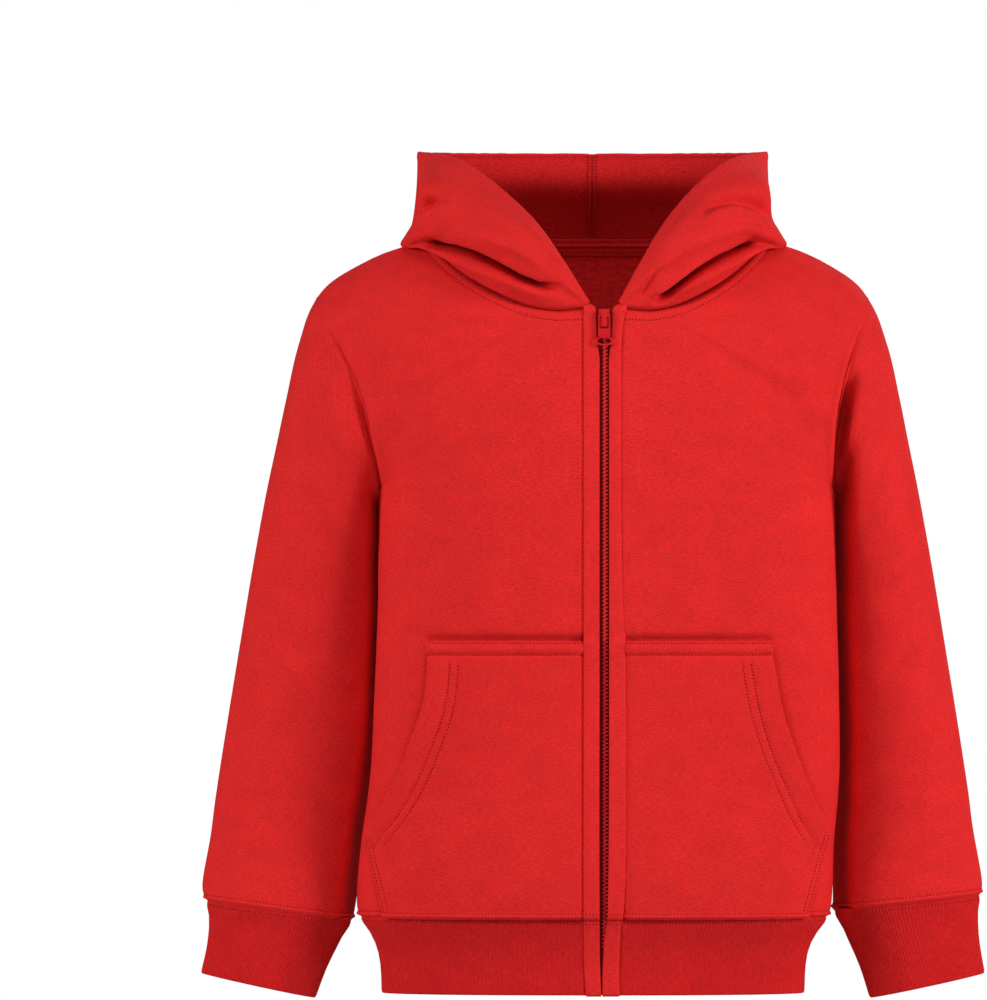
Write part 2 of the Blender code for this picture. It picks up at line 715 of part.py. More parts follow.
def joined(name, parts, colour, roughness):
    """One body from several closed shapes, by union; the shapes are then removed."""
    objects = []
    for index, cloth in enumerate(parts):
        mesh = bpy.data.meshes.new(f"{name}_{index}")
        cloth.to_mesh(mesh)
        cloth.free()
        objects.append(bpy.data.objects.new(f"{name}_{index}", mesh))
        bpy.context.scene.collection.objects.link(objects[-1])
    first, others = objects[0], objects[1:]
    for other in others:
        union = first.modifiers.new("union", "BOOLEAN")
        union.operation = "UNION"
        union.object = other
    bpy.context.view_layer.update()
    evaluated = first.evaluated_get(bpy.context.evaluated_depsgraph_get())
    mesh = bpy.data.meshes.new_from_object(evaluated)
    mesh.name = name
    for made in objects:
        bpy.data.objects.remove(made, do_unlink=True)
    mesh.materials.clear()
    mesh.transform(((MM, 0, 0, 0), (0, MM, 0, 0), (0, 0, MM, 0), (0, 0, 0, 1)))
    mesh.shade_smooth()
    mesh.set_sharp_from_angle(angle=radians(35))
    return place(name, mesh, colour, roughness)


def zip_frame():
    """Where the slider sits on the front's middle line, and how far the line leans there."""
    reach = SLIDER_TALL / 2
    below, above = front_middle_y(SLIDER_Z - reach), front_middle_y(SLIDER_Z + reach)
    lean = np.arctan2(below - above, SLIDER_TALL)
    return (ZIP_X * MM, front_middle_y(SLIDER_Z) * MM, SLIDER_Z * MM), lean


def slider():
    """Its own x across, y into the garment, z along the zip; the outside of the cloth is at y = 0."""
    back = BODY_CLOTH + SEAM_GAP + TAPE_CLOTH + SEAM_GAP
    half, tall = SLIDER_WIDE / 2, SLIDER_TALL / 2
    face = -PLATE_LIFT - PLATE_THICK
    wedge_low = (-WEDGE_WIDE / 2, -PLATE_LIFT - SUNK, tall - WEDGE_TALL)
    wedge_high = (WEDGE_WIDE / 2, back + SUNK, tall - WEDGE_BELOW_TOP)
    rounded = [
        box((-half, face, -tall), (half, -PLATE_LIFT, tall)),
        box((-half, back, -tall), (half, back + PLATE_THICK, tall)),
        box(wedge_low, wedge_high),
    ]
    for cloth in rounded:
        corners = [edge for edge in cloth.edges if abs(edge.verts[0].co.y - edge.verts[1].co.y) > SUNK]
        bmesh.ops.bevel(cloth, geom=corners, offset=SLIDER_ROUND, segments=2, affect="EDGES",
                        profile=0.5, material=-1)
    half = BRIDGE_WIDE / 2
    bar = face - 2 * HINGE_OUT
    bridge = [
        box((-half, bar, BRIDGE_TOP - BRIDGE_BAR), (half, face + SUNK, BRIDGE_TOP)),
        box((-half, bar, BRIDGE_LOW), (half, face + SUNK, BRIDGE_LOW + BRIDGE_BAR)),
        box((-half, bar - BRIDGE_BAR, BRIDGE_LOW), (half, bar, BRIDGE_TOP)),
    ]
    return joined("zip_slider", rounded + bridge, RED_TRIM, 0.45)


def oval(width, height, middle_z, count=20):
    return [(width / 2 * cos(2 * pi * step / count), middle_z + height / 2 * sin(2 * pi * step / count))
            for step in range(count)]


def ring_plate(outer, inner, thickness):
    """A flat ring between two outlines with the same number of points."""
    cloth = bmesh.new()
    loops = []
    for y in (-thickness / 2, thickness / 2):
        for outline in (outer, inner):
            loops.append([cloth.verts.new((x, y, z)) for x, z in outline])
    count = len(outer)
    front_out, front_in, back_out, back_in = loops
    bands = ((front_out, front_in), (front_in, back_in), (back_in, back_out), (back_out, front_out))
    for step in range(count):
        after = (step + 1) % count
        for low, high in bands:
            cloth.faces.new((low[step], low[after], high[after], high[step]))
    bmesh.ops.recalc_face_normals(cloth, faces=cloth.faces)
    return cloth


def pull_tab():
    """A tab with a window for the slider's bridge and an oval finger hole; its bar is on the x axis."""
    bar = bmesh.new()
    bmesh.ops.create_cone(bar, cap_ends=True, segments=12, radius1=TAB_BAR, radius2=TAB_BAR, depth=TAB_WIDE)
    for vert in bar.verts:
        vert.co = (vert.co.z, vert.co.x, vert.co.y)
    bmesh.ops.recalc_face_normals(bar, faces=bar.faces)
    parts = [bar]
    half, thick = TAB_WIDE / 2, TAB_THICK / 2
    for sign in (-1, 1):
        low, high = sorted((sign * half, sign * TAB_WINDOW / 2))
        parts.append(box((low, -thick, -TAB_TALL), (high, thick, TAB_HEAD)))
    # a little inside the arms on every side, so that no two faces lie in one plane
    inset = 0.2
    parts.append(box((inset - half, inset / 4 - thick, -TAB_TALL),
                     (half - inset, thick - inset / 4, -TAB_TALL + TAB_FOOT_TALL)))
    ring_z = -TAB_TALL - RING_TALL / 2 + RING_OVER_TAB
    outer = oval(RING_WIDE, RING_TALL, ring_z)
    hole = oval(RING_HOLE_WIDE, RING_HOLE_TALL, ring_z)
    parts.append(ring_plate(outer, hole, RING_THICK))
    return joined("pull_tab", parts, RED_TRIM, 0.45)


# ---------------------------------------------------------------- the garment

def sewn_nets():
    """Every net that is sewn to another, with the way that it faces and whether it closes round."""
    fronts = {name: front_net(side) for name, side in SIDES.items()}
    nets = {"back": (back_net(fronts), -1, False), "hem_rib": (rib_net(), 1, False)}
    for name, side in SIDES.items():
        band = strip_net(side, band_rows(), lambda z: ZIP_HALF, BAND_SEAM, 2)
        hem_end = strip_net(side, RIB_ROWS[::-1], lambda z: ZIP_HALF, BAND_SEAM, 2)
        nets["front_" + name] = (fronts[name], side, False)
        nets["sleeve_" + name] = (sleeve_net(name, side), side, True)
        nets["cuff_" + name] = (cuff_net(name, side), side, True)
        nets["hood_" + name] = (hood_net(side), side, False)
        nets["band_" + name] = (band, side, False)
        nets["hem_end_" + name] = (hem_end, side, False)
    return nets


def cut_pieces(nets, normals):
    """The walls of the cloth that is sewn edge to edge."""
    looks = {
        "hem_rib": (RIB_CLOTH, RED_RIB, 0.0),
        "cuff": (RIB_CLOTH, RED_RIB, 0.0),
        "band": (BAND_CLOTH, RED_TRIM, BAND_LIFT),
        "hem_end": (BAND_CLOTH, RED_RIB, BAND_LIFT),
    }
    for name, (net, flip, closed) in nets.items():
        kind = name.removesuffix("_left").removesuffix("_right")
        thickness, colour, lift = looks.get(kind, (BODY_CLOTH, RED, 0.0))
        if kind == "hood":
            thickness = hood_cloth(net)
        wall(name, net, normals[name], thickness, colour, flip, closed, lift)


def laid_pieces(nets, normals):
    """Pockets on the fronts, the zip's tapes and teeth behind the bands, and the tape at the neck."""
    behind_bands = BAND_LIFT - BAND_CLOTH
    rows = list(RIB_ROWS[:0:-1]) + band_rows()
    for name, side in SIDES.items():
        front = nets["front_" + name][0]
        net, directions = pocket_net(name, front, normals["front_" + name])
        wall("pocket_" + name, net, directions, BODY_CLOTH, RED, side, lift=POCKET_GAP + BODY_CLOTH)
        tape = strip_net(side, rows, tape_edge, TAPE_WIDE, 2)
        directions = seam_normals({"tape": (tape, side, False)})["tape"]
        wall("zip_tape_" + name, tape, directions, TAPE_CLOTH, RED_TRIM, side, lift=behind_bands - SEAM_GAP)
    teeth_rows = [z for z in rows if z < TEETH_TOP_Z] + [TEETH_TOP_Z]
    teeth = strip_net(1, teeth_rows, lambda z: -TEETH_WIDE / 2, TEETH_WIDE / 2, 1)
    directions = seam_normals({"teeth": (teeth, 1, False)})["teeth"]
    wall("zip_teeth", teeth, directions, TEETH_THICK, RED_TRIM, lift=behind_bands + TEETH_THICK)
    net, directions = neck_tape_net(nets["back"][0], normals["back"])
    wall("neck_tape", net, directions, TAPE_CLOTH, RED_TRIM, -1, lift=-BODY_CLOTH - NECK_TAPE_GAP)


def tape_edge(z):
    """The zip tape's inner edge: against the other tape, and further out beside the slider's wedge."""
    return TAPE_GAP / 2 if z <= TEETH_TOP_Z else WEDGE_WIDE / 2 + TAPE_WEDGE_GAP


def empty(name, parent=None):
    made = bpy.data.objects.new(name, None)
    bpy.context.scene.collection.objects.link(made)
    made.parent = parent
    return made


def zip_pull(root):
    seat = empty("zip_seat", root)
    where, lean = zip_frame()
    seat.location = where
    seat.rotation_euler = (lean, 0, 0)
    hinge = empty("tab_hinge", seat)
    hinge.location = (0, (-PLATE_LIFT - PLATE_THICK - HINGE_OUT) * MM, HINGE_UP * MM)
    slider().parent = seat
    pull_tab().parent = hinge


def build():
    for old in list(bpy.data.objects):
        bpy.data.objects.remove(old, do_unlink=True)
    root = empty("hoodie")
    nets = sewn_nets()
    normals = seam_normals(nets)
    for name in SIDES:
        tip = normals["hood_" + name][:, 0]
        tip[:] = unit(tip.mean(axis=0))
    cut_pieces(nets, normals)
    laid_pieces(nets, normals)
    zip_pull(root)


build()
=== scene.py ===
"""The dressed model of a child's zip hoodie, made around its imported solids.

Units here are millimetres, turned to metres where a mesh is made. +Z is up and the front faces -Y.
"left" and "right" are the wearer's. Every cut piece starts as the coarse net of its solid. A finer net
on the same smooth surface gets its grooves, rolls, creases and ribs, and becomes a thin closed shell.
"""

from math import cos, pi, radians, sin

import bmesh
import bpy
import numpy as np
from mathutils import Matrix, Vector


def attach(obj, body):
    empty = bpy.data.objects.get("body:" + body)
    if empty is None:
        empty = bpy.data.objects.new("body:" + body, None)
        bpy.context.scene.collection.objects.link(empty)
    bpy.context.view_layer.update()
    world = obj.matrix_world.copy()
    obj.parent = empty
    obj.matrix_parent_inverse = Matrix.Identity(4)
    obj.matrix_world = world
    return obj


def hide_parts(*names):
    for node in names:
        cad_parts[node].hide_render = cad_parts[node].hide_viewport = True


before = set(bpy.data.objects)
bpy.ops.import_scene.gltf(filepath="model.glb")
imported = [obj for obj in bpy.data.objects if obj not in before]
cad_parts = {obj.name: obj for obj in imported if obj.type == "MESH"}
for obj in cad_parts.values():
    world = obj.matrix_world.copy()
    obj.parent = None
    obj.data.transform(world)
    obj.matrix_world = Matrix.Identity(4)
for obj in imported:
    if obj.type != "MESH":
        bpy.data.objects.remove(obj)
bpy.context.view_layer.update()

bl_info = {
    "name": "Kids zip hoodie",
    "version": (1, 0, 0),
    "blender": (4, 5, 0),
    "location": "View3D > Sidebar > Hoodie",
    "description": "Cloth, ribs, zip, stitching and stage of a child's zip hoodie",
    "category": "Object",
}

MM = 0.001
SIDES = {"right": -1, "left": 1}
BODY = "garment"

# ---------------------------------------------------------------- the pattern, as the solids have it

BODY_CLOTH = 2.4
RIB_CLOTH = 3.0
HOOD_CLOTH = 2.6
HOOD_PINCH = 0.9
BAND_CLOTH = 3.0
BAND_LIFT = 0.7
TAPE_CLOTH = 1.0
SEAM_GAP = 0.3
ZIP_X = 7.2
# from the zip to each band's seam, and the height over which the seam turns out to the neckline
BAND_SEAM = {-1: 13.5, 1: 11.0}
BAND_TURN = (-75.0, 25.0)
RIB_SEAM = {-1: 11.5, 1: 9.8}
TEETH_TOP_Z = -53.0
TEETH_THICK = 2.2
TAPE_GAP = 0.3
TAPE_WEDGE_GAP = 0.9
TAPE_WIDE = 13.0
WEDGE_WIDE = 2.6
UNDERARM_Z = -172.0
NECK_FRONT_Z = -45.5
NECK_BACK_Z = 2.0
POCKET_TOP_Z = -276.5
SIDE_Y = -6.0
BODY_ROUND = 2.3

# z, middle x, half width, depth in front of the side seam, depth behind it
BODY_SIZES = (
    (-523, 0, 147.7, 64, 78),
    (-504, 0, 148.5, 65, 79),
    (-490, 0, 151.5, 68, 82),
    (-477, 0.5, 158.5, 72.5, 87.5),
    (-470, 0.5, 164, 75.5, 91),
    (-455, 1, 165.8, 78, 94),
    (-420, 3, 165.2, 79, 94.5),
    (-375, 8, 164, 79.5, 94),
    (-318, 9.5, 162.5, 80.5, 93.5),
    (-256, 10, 160.5, 82, 92.5),
    (-172, 9.5, 159.5, 84, 94),
)
# heights of the rows of points from the hem seam to the underarm
BODY_ROWS = (-470, -461, -446, -428, -411, -389, -367, -345, -322, -299, -276.5, -243, -207, -172)
# middle of the front and of the back above the underarm: z, y
FRONT_LINE = ((-172, -90), (-125, -88.5), (-85, -84), (-45.5, -77))
BACK_LINE = ((-172, 88), (-125, 89), (-80, 84), (-40, 76), (-10, 68), (2, 62.5))
# share of the armhole from the underarm to the shoulder point, z, middle x,
# half width in front, y in front, half width behind, y behind
ARMHOLE = (
    (0.00, -172, 9.5, 159.5, -6, 159.5, -6),
    (0.10, -167.5, 9.3, 158.8, -25, 160, 14),
    (0.20, -155, 8.6, 159.5, -39.5, 162, 33),
    (0.35, -132, 6.8, 162.5, -50, 167, 49),
    (0.50, -108, 5.8, 167, -52, 171, 55),
    (0.65, -84, 3.8, 174.5, -47, 178, 52),
    (0.80, -57, 1, 186, -33, 188, 39),
    (0.90, -43, -0.3, 191, -17, 191.5, 23),
    (1.00, -37, -0.5, 192.5, 3, 192.5, 3),
)
# neckline, front from the band to the shoulder, back from there to the middle: middle x, out, y, z
NECK_FRONT = (
    (7.2, 13.5, -77, -45.5),
    (6.6, 32, -75.5, -47),
    (5.6, 52, -71, -43.5),
    (4.6, 72, -62, -35),
    (3.6, 92, -47, -22.5),
    (2.8, 108.5, -28, -7),
    (2.4, 117, -4, 3.5),
)
NECK_BACK = (
    (2.4, 117, -4, 3.5),
    (2, 112, 22, 4),
    (1.4, 94, 44, 3),
    (0.8, 66, 55, 2.3),
    (0.4, 34, 61, 2),
    (0, 0, 62.5, 2),
)
FRONT_COLUMNS = 9
BACK_NECK_COLUMNS = 6
ARMHOLE_STEPS = 10
NECK_STEPS = 7
UNDERARM_ROW = len(BODY_ROWS) - 1
NECK_ROW = UNDERARM_ROW + ARMHOLE_STEPS - NECK_STEPS
TOP_ROW = UNDERARM_ROW + ARMHOLE_STEPS
SHOULDER_TURN = radians(34)
CHEST_BULGE = 5.0
SHOULDER_RISE = 6.0
YOKE_POWER = 2.5
FLATTEN_FROM = 0.35
LEAST_TURN_DEPTH = 0.9

# sleeve from just below the armhole to the cuff seam, then the cuff below it:
# outer edge x, z, inner edge x, z, middle y, half depth
SLEEVE = {
    "right": (
        (207.5, -74, 153, -184, 9, 57),
        (217, -118, 151, -199, 16, 55),
        (228, -168, 149, -224, 24, 52),
        (238, -222, 147.5, -256, 27, 49),
        (247, -276, 149, -300, 28, 46.5),
        (256, -331, 151.5, -348, 27, 44),
        (263.9, -381.5, 157.5, -392, 25, 42),
        (270.5, -430, 164, -440, 19, 40),
        (274.2, -451, 166.5, -464, 11, 38.5),
        (271, -459, 168.5, -473, 8, 36),
    ),
    "left": (
        (207.5, -74, 171.5, -184, 8, 57),
        (217, -118, 170.5, -200, 15, 56),
        (227.5, -168, 169.5, -225, 22, 54),
        (237.5, -222, 169, -258, 26, 51.5),
        (246.5, -276, 169.5, -302, 27, 49.5),
        (255.5, -331, 170, -350, 26, 47),
        (263.2, -381.5, 169.5, -394, 23, 45),
        (269.8, -430, 168, -440, 16, 42),
        (273.4, -448, 169, -457, 10, 39),
        (271.5, -455, 168.5, -466.5, 8, 36),
    ),
}
CUFF = {
    "right": (
        (269, -467, 174.5, -482, 7, 31.5),
        (268.8, -478, 180, -492.5, 5.5, 29.5),
        (270.4, -492, 187, -507, 4.5, 28.5),
        (274.4, -509.6, 194.5, -527, 4, 28),
    ),
    "left": (
        (269.8, -463, 174, -475.5, 7, 31.5),
        (269.6, -475, 180, -489, 5.5, 29.5),
        (270.8, -490, 187, -505, 4.5, 28.5),
        (274.2, -509.6, 194, -527, 4, 28),
    ),
}
SLEEVE_ROUND = 2.15
SLEEVE_RINGS = 15
# how much the ring above the cuff seam keeps to its own section
LAST_RING_KEPT = 0.7
RING_POINTS = 2 * ARMHOLE_STEPS
RIB_ROWS = (-470, -477, -490, -504, -523)

# share of the neckline from front to back, then out from the hood's middle, y and z of each line from the
# neck seam to the rim
HOOD_LINES = ("low", "crease", "roll", "shelf", "rim")
HOOD = (
    (0.0, 12.9, -77.6, -44.4, 12.2, -78, -43.4, 11.4, -78.4, -42.4, 10.6, -78.6, -41.4, 9.9, -78.2, -40.4),
    (0.13, 38, -80.5, -38.5, 36.5, -79.5, -28.5, 33.5, -84, -21, 29.5, -80.5, -14, 25.3, -74, -14),
    (0.27, 69, -78, -27, 62, -72, -14, 58.5, -84, -4, 52.5, -76, 10.5, 46.5, -56, 18),
    (0.4, 100, -58, -13, 94, -53, -1, 89, -68, 9, 83, -58, 29, 73, -34, 45),
    (0.54, 128, -17, 3.5, 132.5, -19, 9.5, 125.5, -35, 19, 118.5, -30, 43, 100, -5, 62),
    (0.63, 126, 12, 4, 133, 15, 9.5, 124.5, 7, 22.5, 122.8, 8, 45, 121.5, 30, 66),
    (0.7, 116, 37, 5, 127, 50, -5, 128.5, 55, 5, 124, 50, 34, 121, 50, 66.5),
    (0.77, 101, 57, 6, 110, 84, -36, 122, 106, -28, 121.5, 92, 22, 109, 68, 66.5),
    (0.885, 58, 73, 0.5, 72, 99, -80, 80, 125, -80, 84, 126, 0, 62, 86, 66.5),
    (1.0, 0, 76, -3.5, 0, 103, -106, 0, 132, -106, 0, 142, -14, 0, 95, 66.5),
)
HOOD_STEPS = 3
HOOD_MIDDLE = ((0, 7.2), (0.27, 4.6), (0.40, 2), (0.54, 0.7), (0.65, 0), (1, 0))
FOLD_AT = (5.0, 8.6)
FOLD_REACH = (4.0, 2.2)

# outline of the pocket: z, distance of its outer edge from the zip
POCKET = {
    "right": ((-470, 152), (-411, 162.5), (-389, 150), (-367, 139), (-345, 131), (-322, 123.5),
              (-299, 120.5), (-276.5, 119.5)),
    "left": ((-470, 140.5), (-411, 153), (-389, 144), (-367, 135.5), (-345, 127.5), (-322, 121),
             (-299, 117), (-276.5, 113.5)),
}
POCKET_GAP = 0.6
POCKET_LIP = 3.0
POCKET_SEAM = 13.5
NECK_TAPE_TALL = 10.0
NECK_TAPE_GAP = 0.6
NECK_TAPE_HALF = 46.0
NECK_TAPE_RAISED = 4.2


# ---------------------------------------------------------------- the zip

# teeth: how far they reach over the zip's middle, how far the row is shifted, and how low the neck is
# as a share of the head
TOOTH_PITCH = 2.7
TOOTH_TALL = 1.5
TOOTH_LONG = 2.7
TOOTH_OVER = 0.8
TEETH_SHIFT = 0.4
TOOTH_THICK = 1.9
TOOTH_NECK = 0.72
TOOTH_ROUNDING = 0.22
TEETH_LOW_Z = -489.0
# the slider, from the middle of its outer plate: x across, y into the garment, z along the zip
SLIDER_Z = -54.6
SLIDER_HALF = 3.9
SLIDER_REACH = 8.5
PLATE_FRONT = -2.3
PLATE_LIFT = 1.1
PLATE_THICK = 1.2
SLIDER_BACK = BODY_CLOTH + SEAM_GAP + TAPE_CLOTH + SEAM_GAP
BRIDGE_HALF = 1.75
BRIDGE_TOP = 7.6
BRIDGE_LOW = -4.8
BRIDGE_BAR = 1.2
HINGE_OUT = 1.35
HINGE_UP = 3.4
TAB_HALF = 4.3
TAB_WINDOW_HALF = 2.8
TAB_FOOT_TOP = -9.0
TAB_TALL = 14.8
TAB_BAR_RADIUS = 0.78
# the tab's ring: how far below the bar, and its half width and height to the middle of its wire, with the
# wire's radii in both directions
RING_AT = -17.8
RING_WIDE = (5.7, 1.05)
RING_TALL = (2.75, 0.85)
RING_DEEP = 0.85


# ---------------------------------------------------------------- the stage, in metres

FLOOR_Z = -0.62
FLOOR_GREY = (0.68, 0.68, 0.68)
FLOOR_RADIUS = 2.4
# the camera's sensor, in millimetres, its place in front of the garment, and the height it takes in there
SENSOR = 36.0
CAMERA_FAR = 10.0
CAMERA_X = -0.06965
CAMERA_Z = -0.1785
IMAGE_TALL = 0.70
LIT_AT = (0.0, 0.0, -0.25)
SKY_LIGHT = 0.11
# name, place, size across, power in watts
LIGHTS = (
    ("right_box", (2.6, -1.5, 0.5), 1.2, 60.0),
    ("left_box", (-2.6, -1.5, 0.5), 1.2, 47.0),
    ("top_box", (0.1, -2.2, 2.1), 1.2, 22.0),
    ("low_box", (0.2, -2.9, -0.9), 1.0, 0.4),
    ("back_box", (0.6, 2.6, 1.6), 1.6, 29.0),
)
WHITE = (1.0, 1.0, 1.0, 1.0)


def hermite(one, other, leaving, arriving, t):
    """A cubic between two values, with its slopes at both; t runs from 0 to 1."""
    rise = t * t * (3 - 2 * t)
    return one * (1 - rise) + other * rise + leaving * t * (1 - t) ** 2 - arriving * t * t * (1 - t)


def smooth(at, places, values):
    """A cubic through a table's rows, whose places rise; values may have several columns."""
    places = np.asarray(places, float)
    values = np.asarray(values, float)
    slopes = np.gradient(values, places, axis=0)
    at = min(max(at, places[0]), places[-1])
    low = min(max(int(np.searchsorted(places, at)) - 1, 0), len(places) - 2)
    step = places[low + 1] - places[low]
    return hermite(values[low], values[low + 1], step * slopes[low], step * slopes[low + 1],
                   (at - places[low]) / step)


def read(rows, at):
    """The columns of a table at a place along its first column."""
    rows = np.asarray(rows, float)
    return smooth(at, rows[:, 0], rows[:, 1:])


def lengths_to(points):
    """How far along a line of points each one lies."""
    return np.concatenate(([0.0], np.cumsum(np.linalg.norm(np.diff(points, axis=0), axis=1))))


def along(rows, share):
    """A point on the smooth line through the rows, at a share of its length."""
    places = lengths_to(rows)
    return smooth(share * places[-1], places, rows)


def sampled(places, run, values):
    """A line's points at places along it; values are its own points, and run is where they lie."""
    return np.stack([np.interp(places, run, column) for column in np.transpose(values)], axis=1)


def ease(share):
    share = np.clip(share, 0.0, 1.0)
    return share * share * (3 - 2 * share)


def past(value, start, over):
    """0 up to start, then a smooth rise to 1 over the length given."""
    return ease((value - start) / over)


def until(value, stop, over):
    """1 until the length given short of stop, then a smooth fall to 0."""
    return ease((stop - value) / over)


def body_line(inner, outer, turn, bulge, share):
    """A level line of the body, from its middle to its side."""
    power = 2 / BODY_ROUND
    angle = share * turn
    wide = sin(angle) ** power / sin(turn) ** power
    last = max(cos(turn), 0.0) ** power
    deep = (max(cos(angle), 0.0) ** power - last) / (1 - last)
    sign = 1 if inner[1] > outer[1] else -1
    return np.array((inner[0] + (outer[0] - inner[0]) * wide,
                     outer[1] + (inner[1] - outer[1]) * deep + sign * bulge * sin(pi * share),
                     inner[2] + (outer[2] - inner[2]) * share))


def row_share(row):
    return max(0.0, (row - UNDERARM_ROW) / ARMHOLE_STEPS)


def armhole_point(side, share, behind):
    z, middle, half_front, y_front, half_back, y_back = read(ARMHOLE, share)
    if behind:
        return np.array((middle + side * half_back, y_back, z))
    return np.array((middle + side * half_front, y_front, z))


def side_point(side, row, behind):
    if row <= UNDERARM_ROW:
        z = BODY_ROWS[row]
        middle, half = read(BODY_SIZES, z)[:2]
        return np.array((middle + side * half, SIDE_Y, z))
    return armhole_point(side, row_share(row), behind)


def neck_point(side, share, behind):
    middle, out, y, z = along(NECK_BACK if behind else NECK_FRONT, share)
    return np.array((middle + side * out, y, z))


def front_middle_y(z):
    if z >= UNDERARM_Z:
        return read(FRONT_LINE, z)[0]
    return SIDE_Y - read(BODY_SIZES, z)[2]


def band_seam_point(side, row):
    """The front's inner edge: up the band's seam, then along the neckline."""
    if row >= NECK_ROW:
        return neck_point(side, (row - NECK_ROW) / NECK_STEPS, False)
    if row <= UNDERARM_ROW:
        z = BODY_ROWS[row]
    else:
        share = (row - UNDERARM_ROW) / (NECK_ROW - UNDERARM_ROW)
        z = UNDERARM_Z + (NECK_FRONT_Z - UNDERARM_Z) * share
    out = BAND_SEAM[side] + (NECK_FRONT[0][1] - BAND_SEAM[side]) * past(z, *BAND_TURN)
    return np.array((ZIP_X + side * out, front_middle_y(z), z))


def turn_at(row, inner, outer):
    """How far round a line goes: as far as its outer end on a full side, and less near the shoulder."""
    depth = min(max((SIDE_Y - outer[1]) / (SIDE_Y - inner[1]), 0.0), LEAST_TURN_DEPTH)
    full = np.arccos(depth ** (BODY_ROUND / 2))
    return full + (SHOULDER_TURN - full) * past(row_share(row), FLATTEN_FROM, 1 - FLATTEN_FROM)


def bulge_at(row):
    return CHEST_BULGE * sin(pi * row_share(row)) ** 2


def body_row(row, inner, outer, columns):
    turn, bulge = turn_at(row, inner, outer), bulge_at(row)
    return [body_line(inner, outer, turn, bulge, column / columns) for column in range(columns + 1)]


def front_net(side):
    net = np.array([body_row(row, band_seam_point(side, row), side_point(side, row, False), FRONT_COLUMNS)
                    for row in range(TOP_ROW + 1)])
    rise = SHOULDER_RISE * np.sin(pi * np.arange(FRONT_COLUMNS + 1) / FRONT_COLUMNS)
    for row in range(NECK_ROW, TOP_ROW + 1):
        net[row][:, 2] += rise * ((row - NECK_ROW) / NECK_STEPS) ** 2
    return net


def back_half(side, shoulder):
    """From the middle of the back to one side; shoulder is the front's top row, which it meets."""
    rows = []
    for row in range(TOP_ROW + 1):
        if row <= UNDERARM_ROW:
            z = BODY_ROWS[row]
            sizes = read(BODY_SIZES, z)
            inner = np.array((sizes[0], SIDE_Y + sizes[3], z))
        else:
            z = UNDERARM_Z + (NECK_BACK_Z - UNDERARM_Z) * row_share(row)
            middle = read(BODY_SIZES, UNDERARM_Z)[0] * (1 - row_share(row))
            inner = np.array((middle, read(BACK_LINE, z)[0], z))
        rows.append(body_row(row, inner, side_point(side, row, True), BACK_NECK_COLUMNS + FRONT_COLUMNS))
    net = np.array(rows)
    top = [neck_point(side, 1 - column / BACK_NECK_COLUMNS, True) for column in range(BACK_NECK_COLUMNS)]
    top = np.array(top + list(shoulder))
    shift = top - net[TOP_ROW]
    reach = TOP_ROW - UNDERARM_ROW
    for row in range(UNDERARM_ROW + 1, TOP_ROW + 1):
        net[row] += shift * ((row - UNDERARM_ROW) / reach) ** YOKE_POWER
        net[row][-1] = side_point(side, row, True)
    return net


def back_net():
    halves = {name: back_half(side, front_net(side)[TOP_ROW]) for name, side in SIDES.items()}
    return np.concatenate((halves["right"][:, :0:-1], halves["left"]), axis=1)


def ring(side, section):
    """A loop of a sleeve: from its outer edge over the front, the inner edge and the back."""
    outer_x, outer_z, inner_x, inner_z, y, depth = section
    power = 2 / SLEEVE_ROUND
    points = []
    for step in range(RING_POINTS):
        angle = 2 * pi * step / RING_POINTS
        across = (1 + np.sign(cos(angle)) * abs(cos(angle)) ** power) / 2
        deep = np.sign(sin(angle)) * abs(sin(angle)) ** power
        points.append((side * (inner_x + (outer_x - inner_x) * across), y - depth * deep,
                       inner_z + (outer_z - inner_z) * across))
    return np.array(points)


def armhole_ring(side):
    front = [armhole_point(side, 1 - step / ARMHOLE_STEPS, False) for step in range(ARMHOLE_STEPS + 1)]
    back = [armhole_point(side, step / ARMHOLE_STEPS, True) for step in range(1, ARMHOLE_STEPS)]
    return np.array(front + back)


def sleeve_net(name, side):
    rings = [armhole_ring(side)] + [ring(side, section) for section in SLEEVE[name]]
    middles = np.array([loop.mean(axis=0) for loop in rings])
    places = lengths_to(middles)
    flat = np.array(rings).reshape(len(rings), -1)
    rows = []
    for step in range(SLEEVE_RINGS + 1):
        share = step / SLEEVE_RINGS
        rows.append(smooth(share * places[-1], places, flat).reshape(-1, 3))
    rows[-2] = rings[-2] * LAST_RING_KEPT + rows[-2] * (1 - LAST_RING_KEPT)
    return np.array(rows)


def cuff_net(name, side):
    return np.array([ring(side, section) for section in (SLEEVE[name][-1],) + CUFF[name]])


def level_row(z):
    """One level loop of the body: right band seam, right side, back, left side, left band seam."""
    middle, half, front, back = read(BODY_SIZES, z)
    points = []
    for side in (SIDES["right"], SIDES["left"]):
        inner = np.array((ZIP_X + side * RIB_SEAM[side], SIDE_Y - front, z))
        behind = np.array((middle, SIDE_Y + back, z))
        outer = np.array((middle + side * half, SIDE_Y, z))
        columns = BACK_NECK_COLUMNS + FRONT_COLUMNS
        before = [body_line(inner, outer, pi / 2, 0, step / FRONT_COLUMNS)
                  for step in range(FRONT_COLUMNS + 1)]
        after = [body_line(behind, outer, pi / 2, 0, step / columns) for step in range(columns)]
        half_loop = before + after[::-1]
        points += half_loop if side < 0 else half_loop[-2::-1]
    return np.array(points)


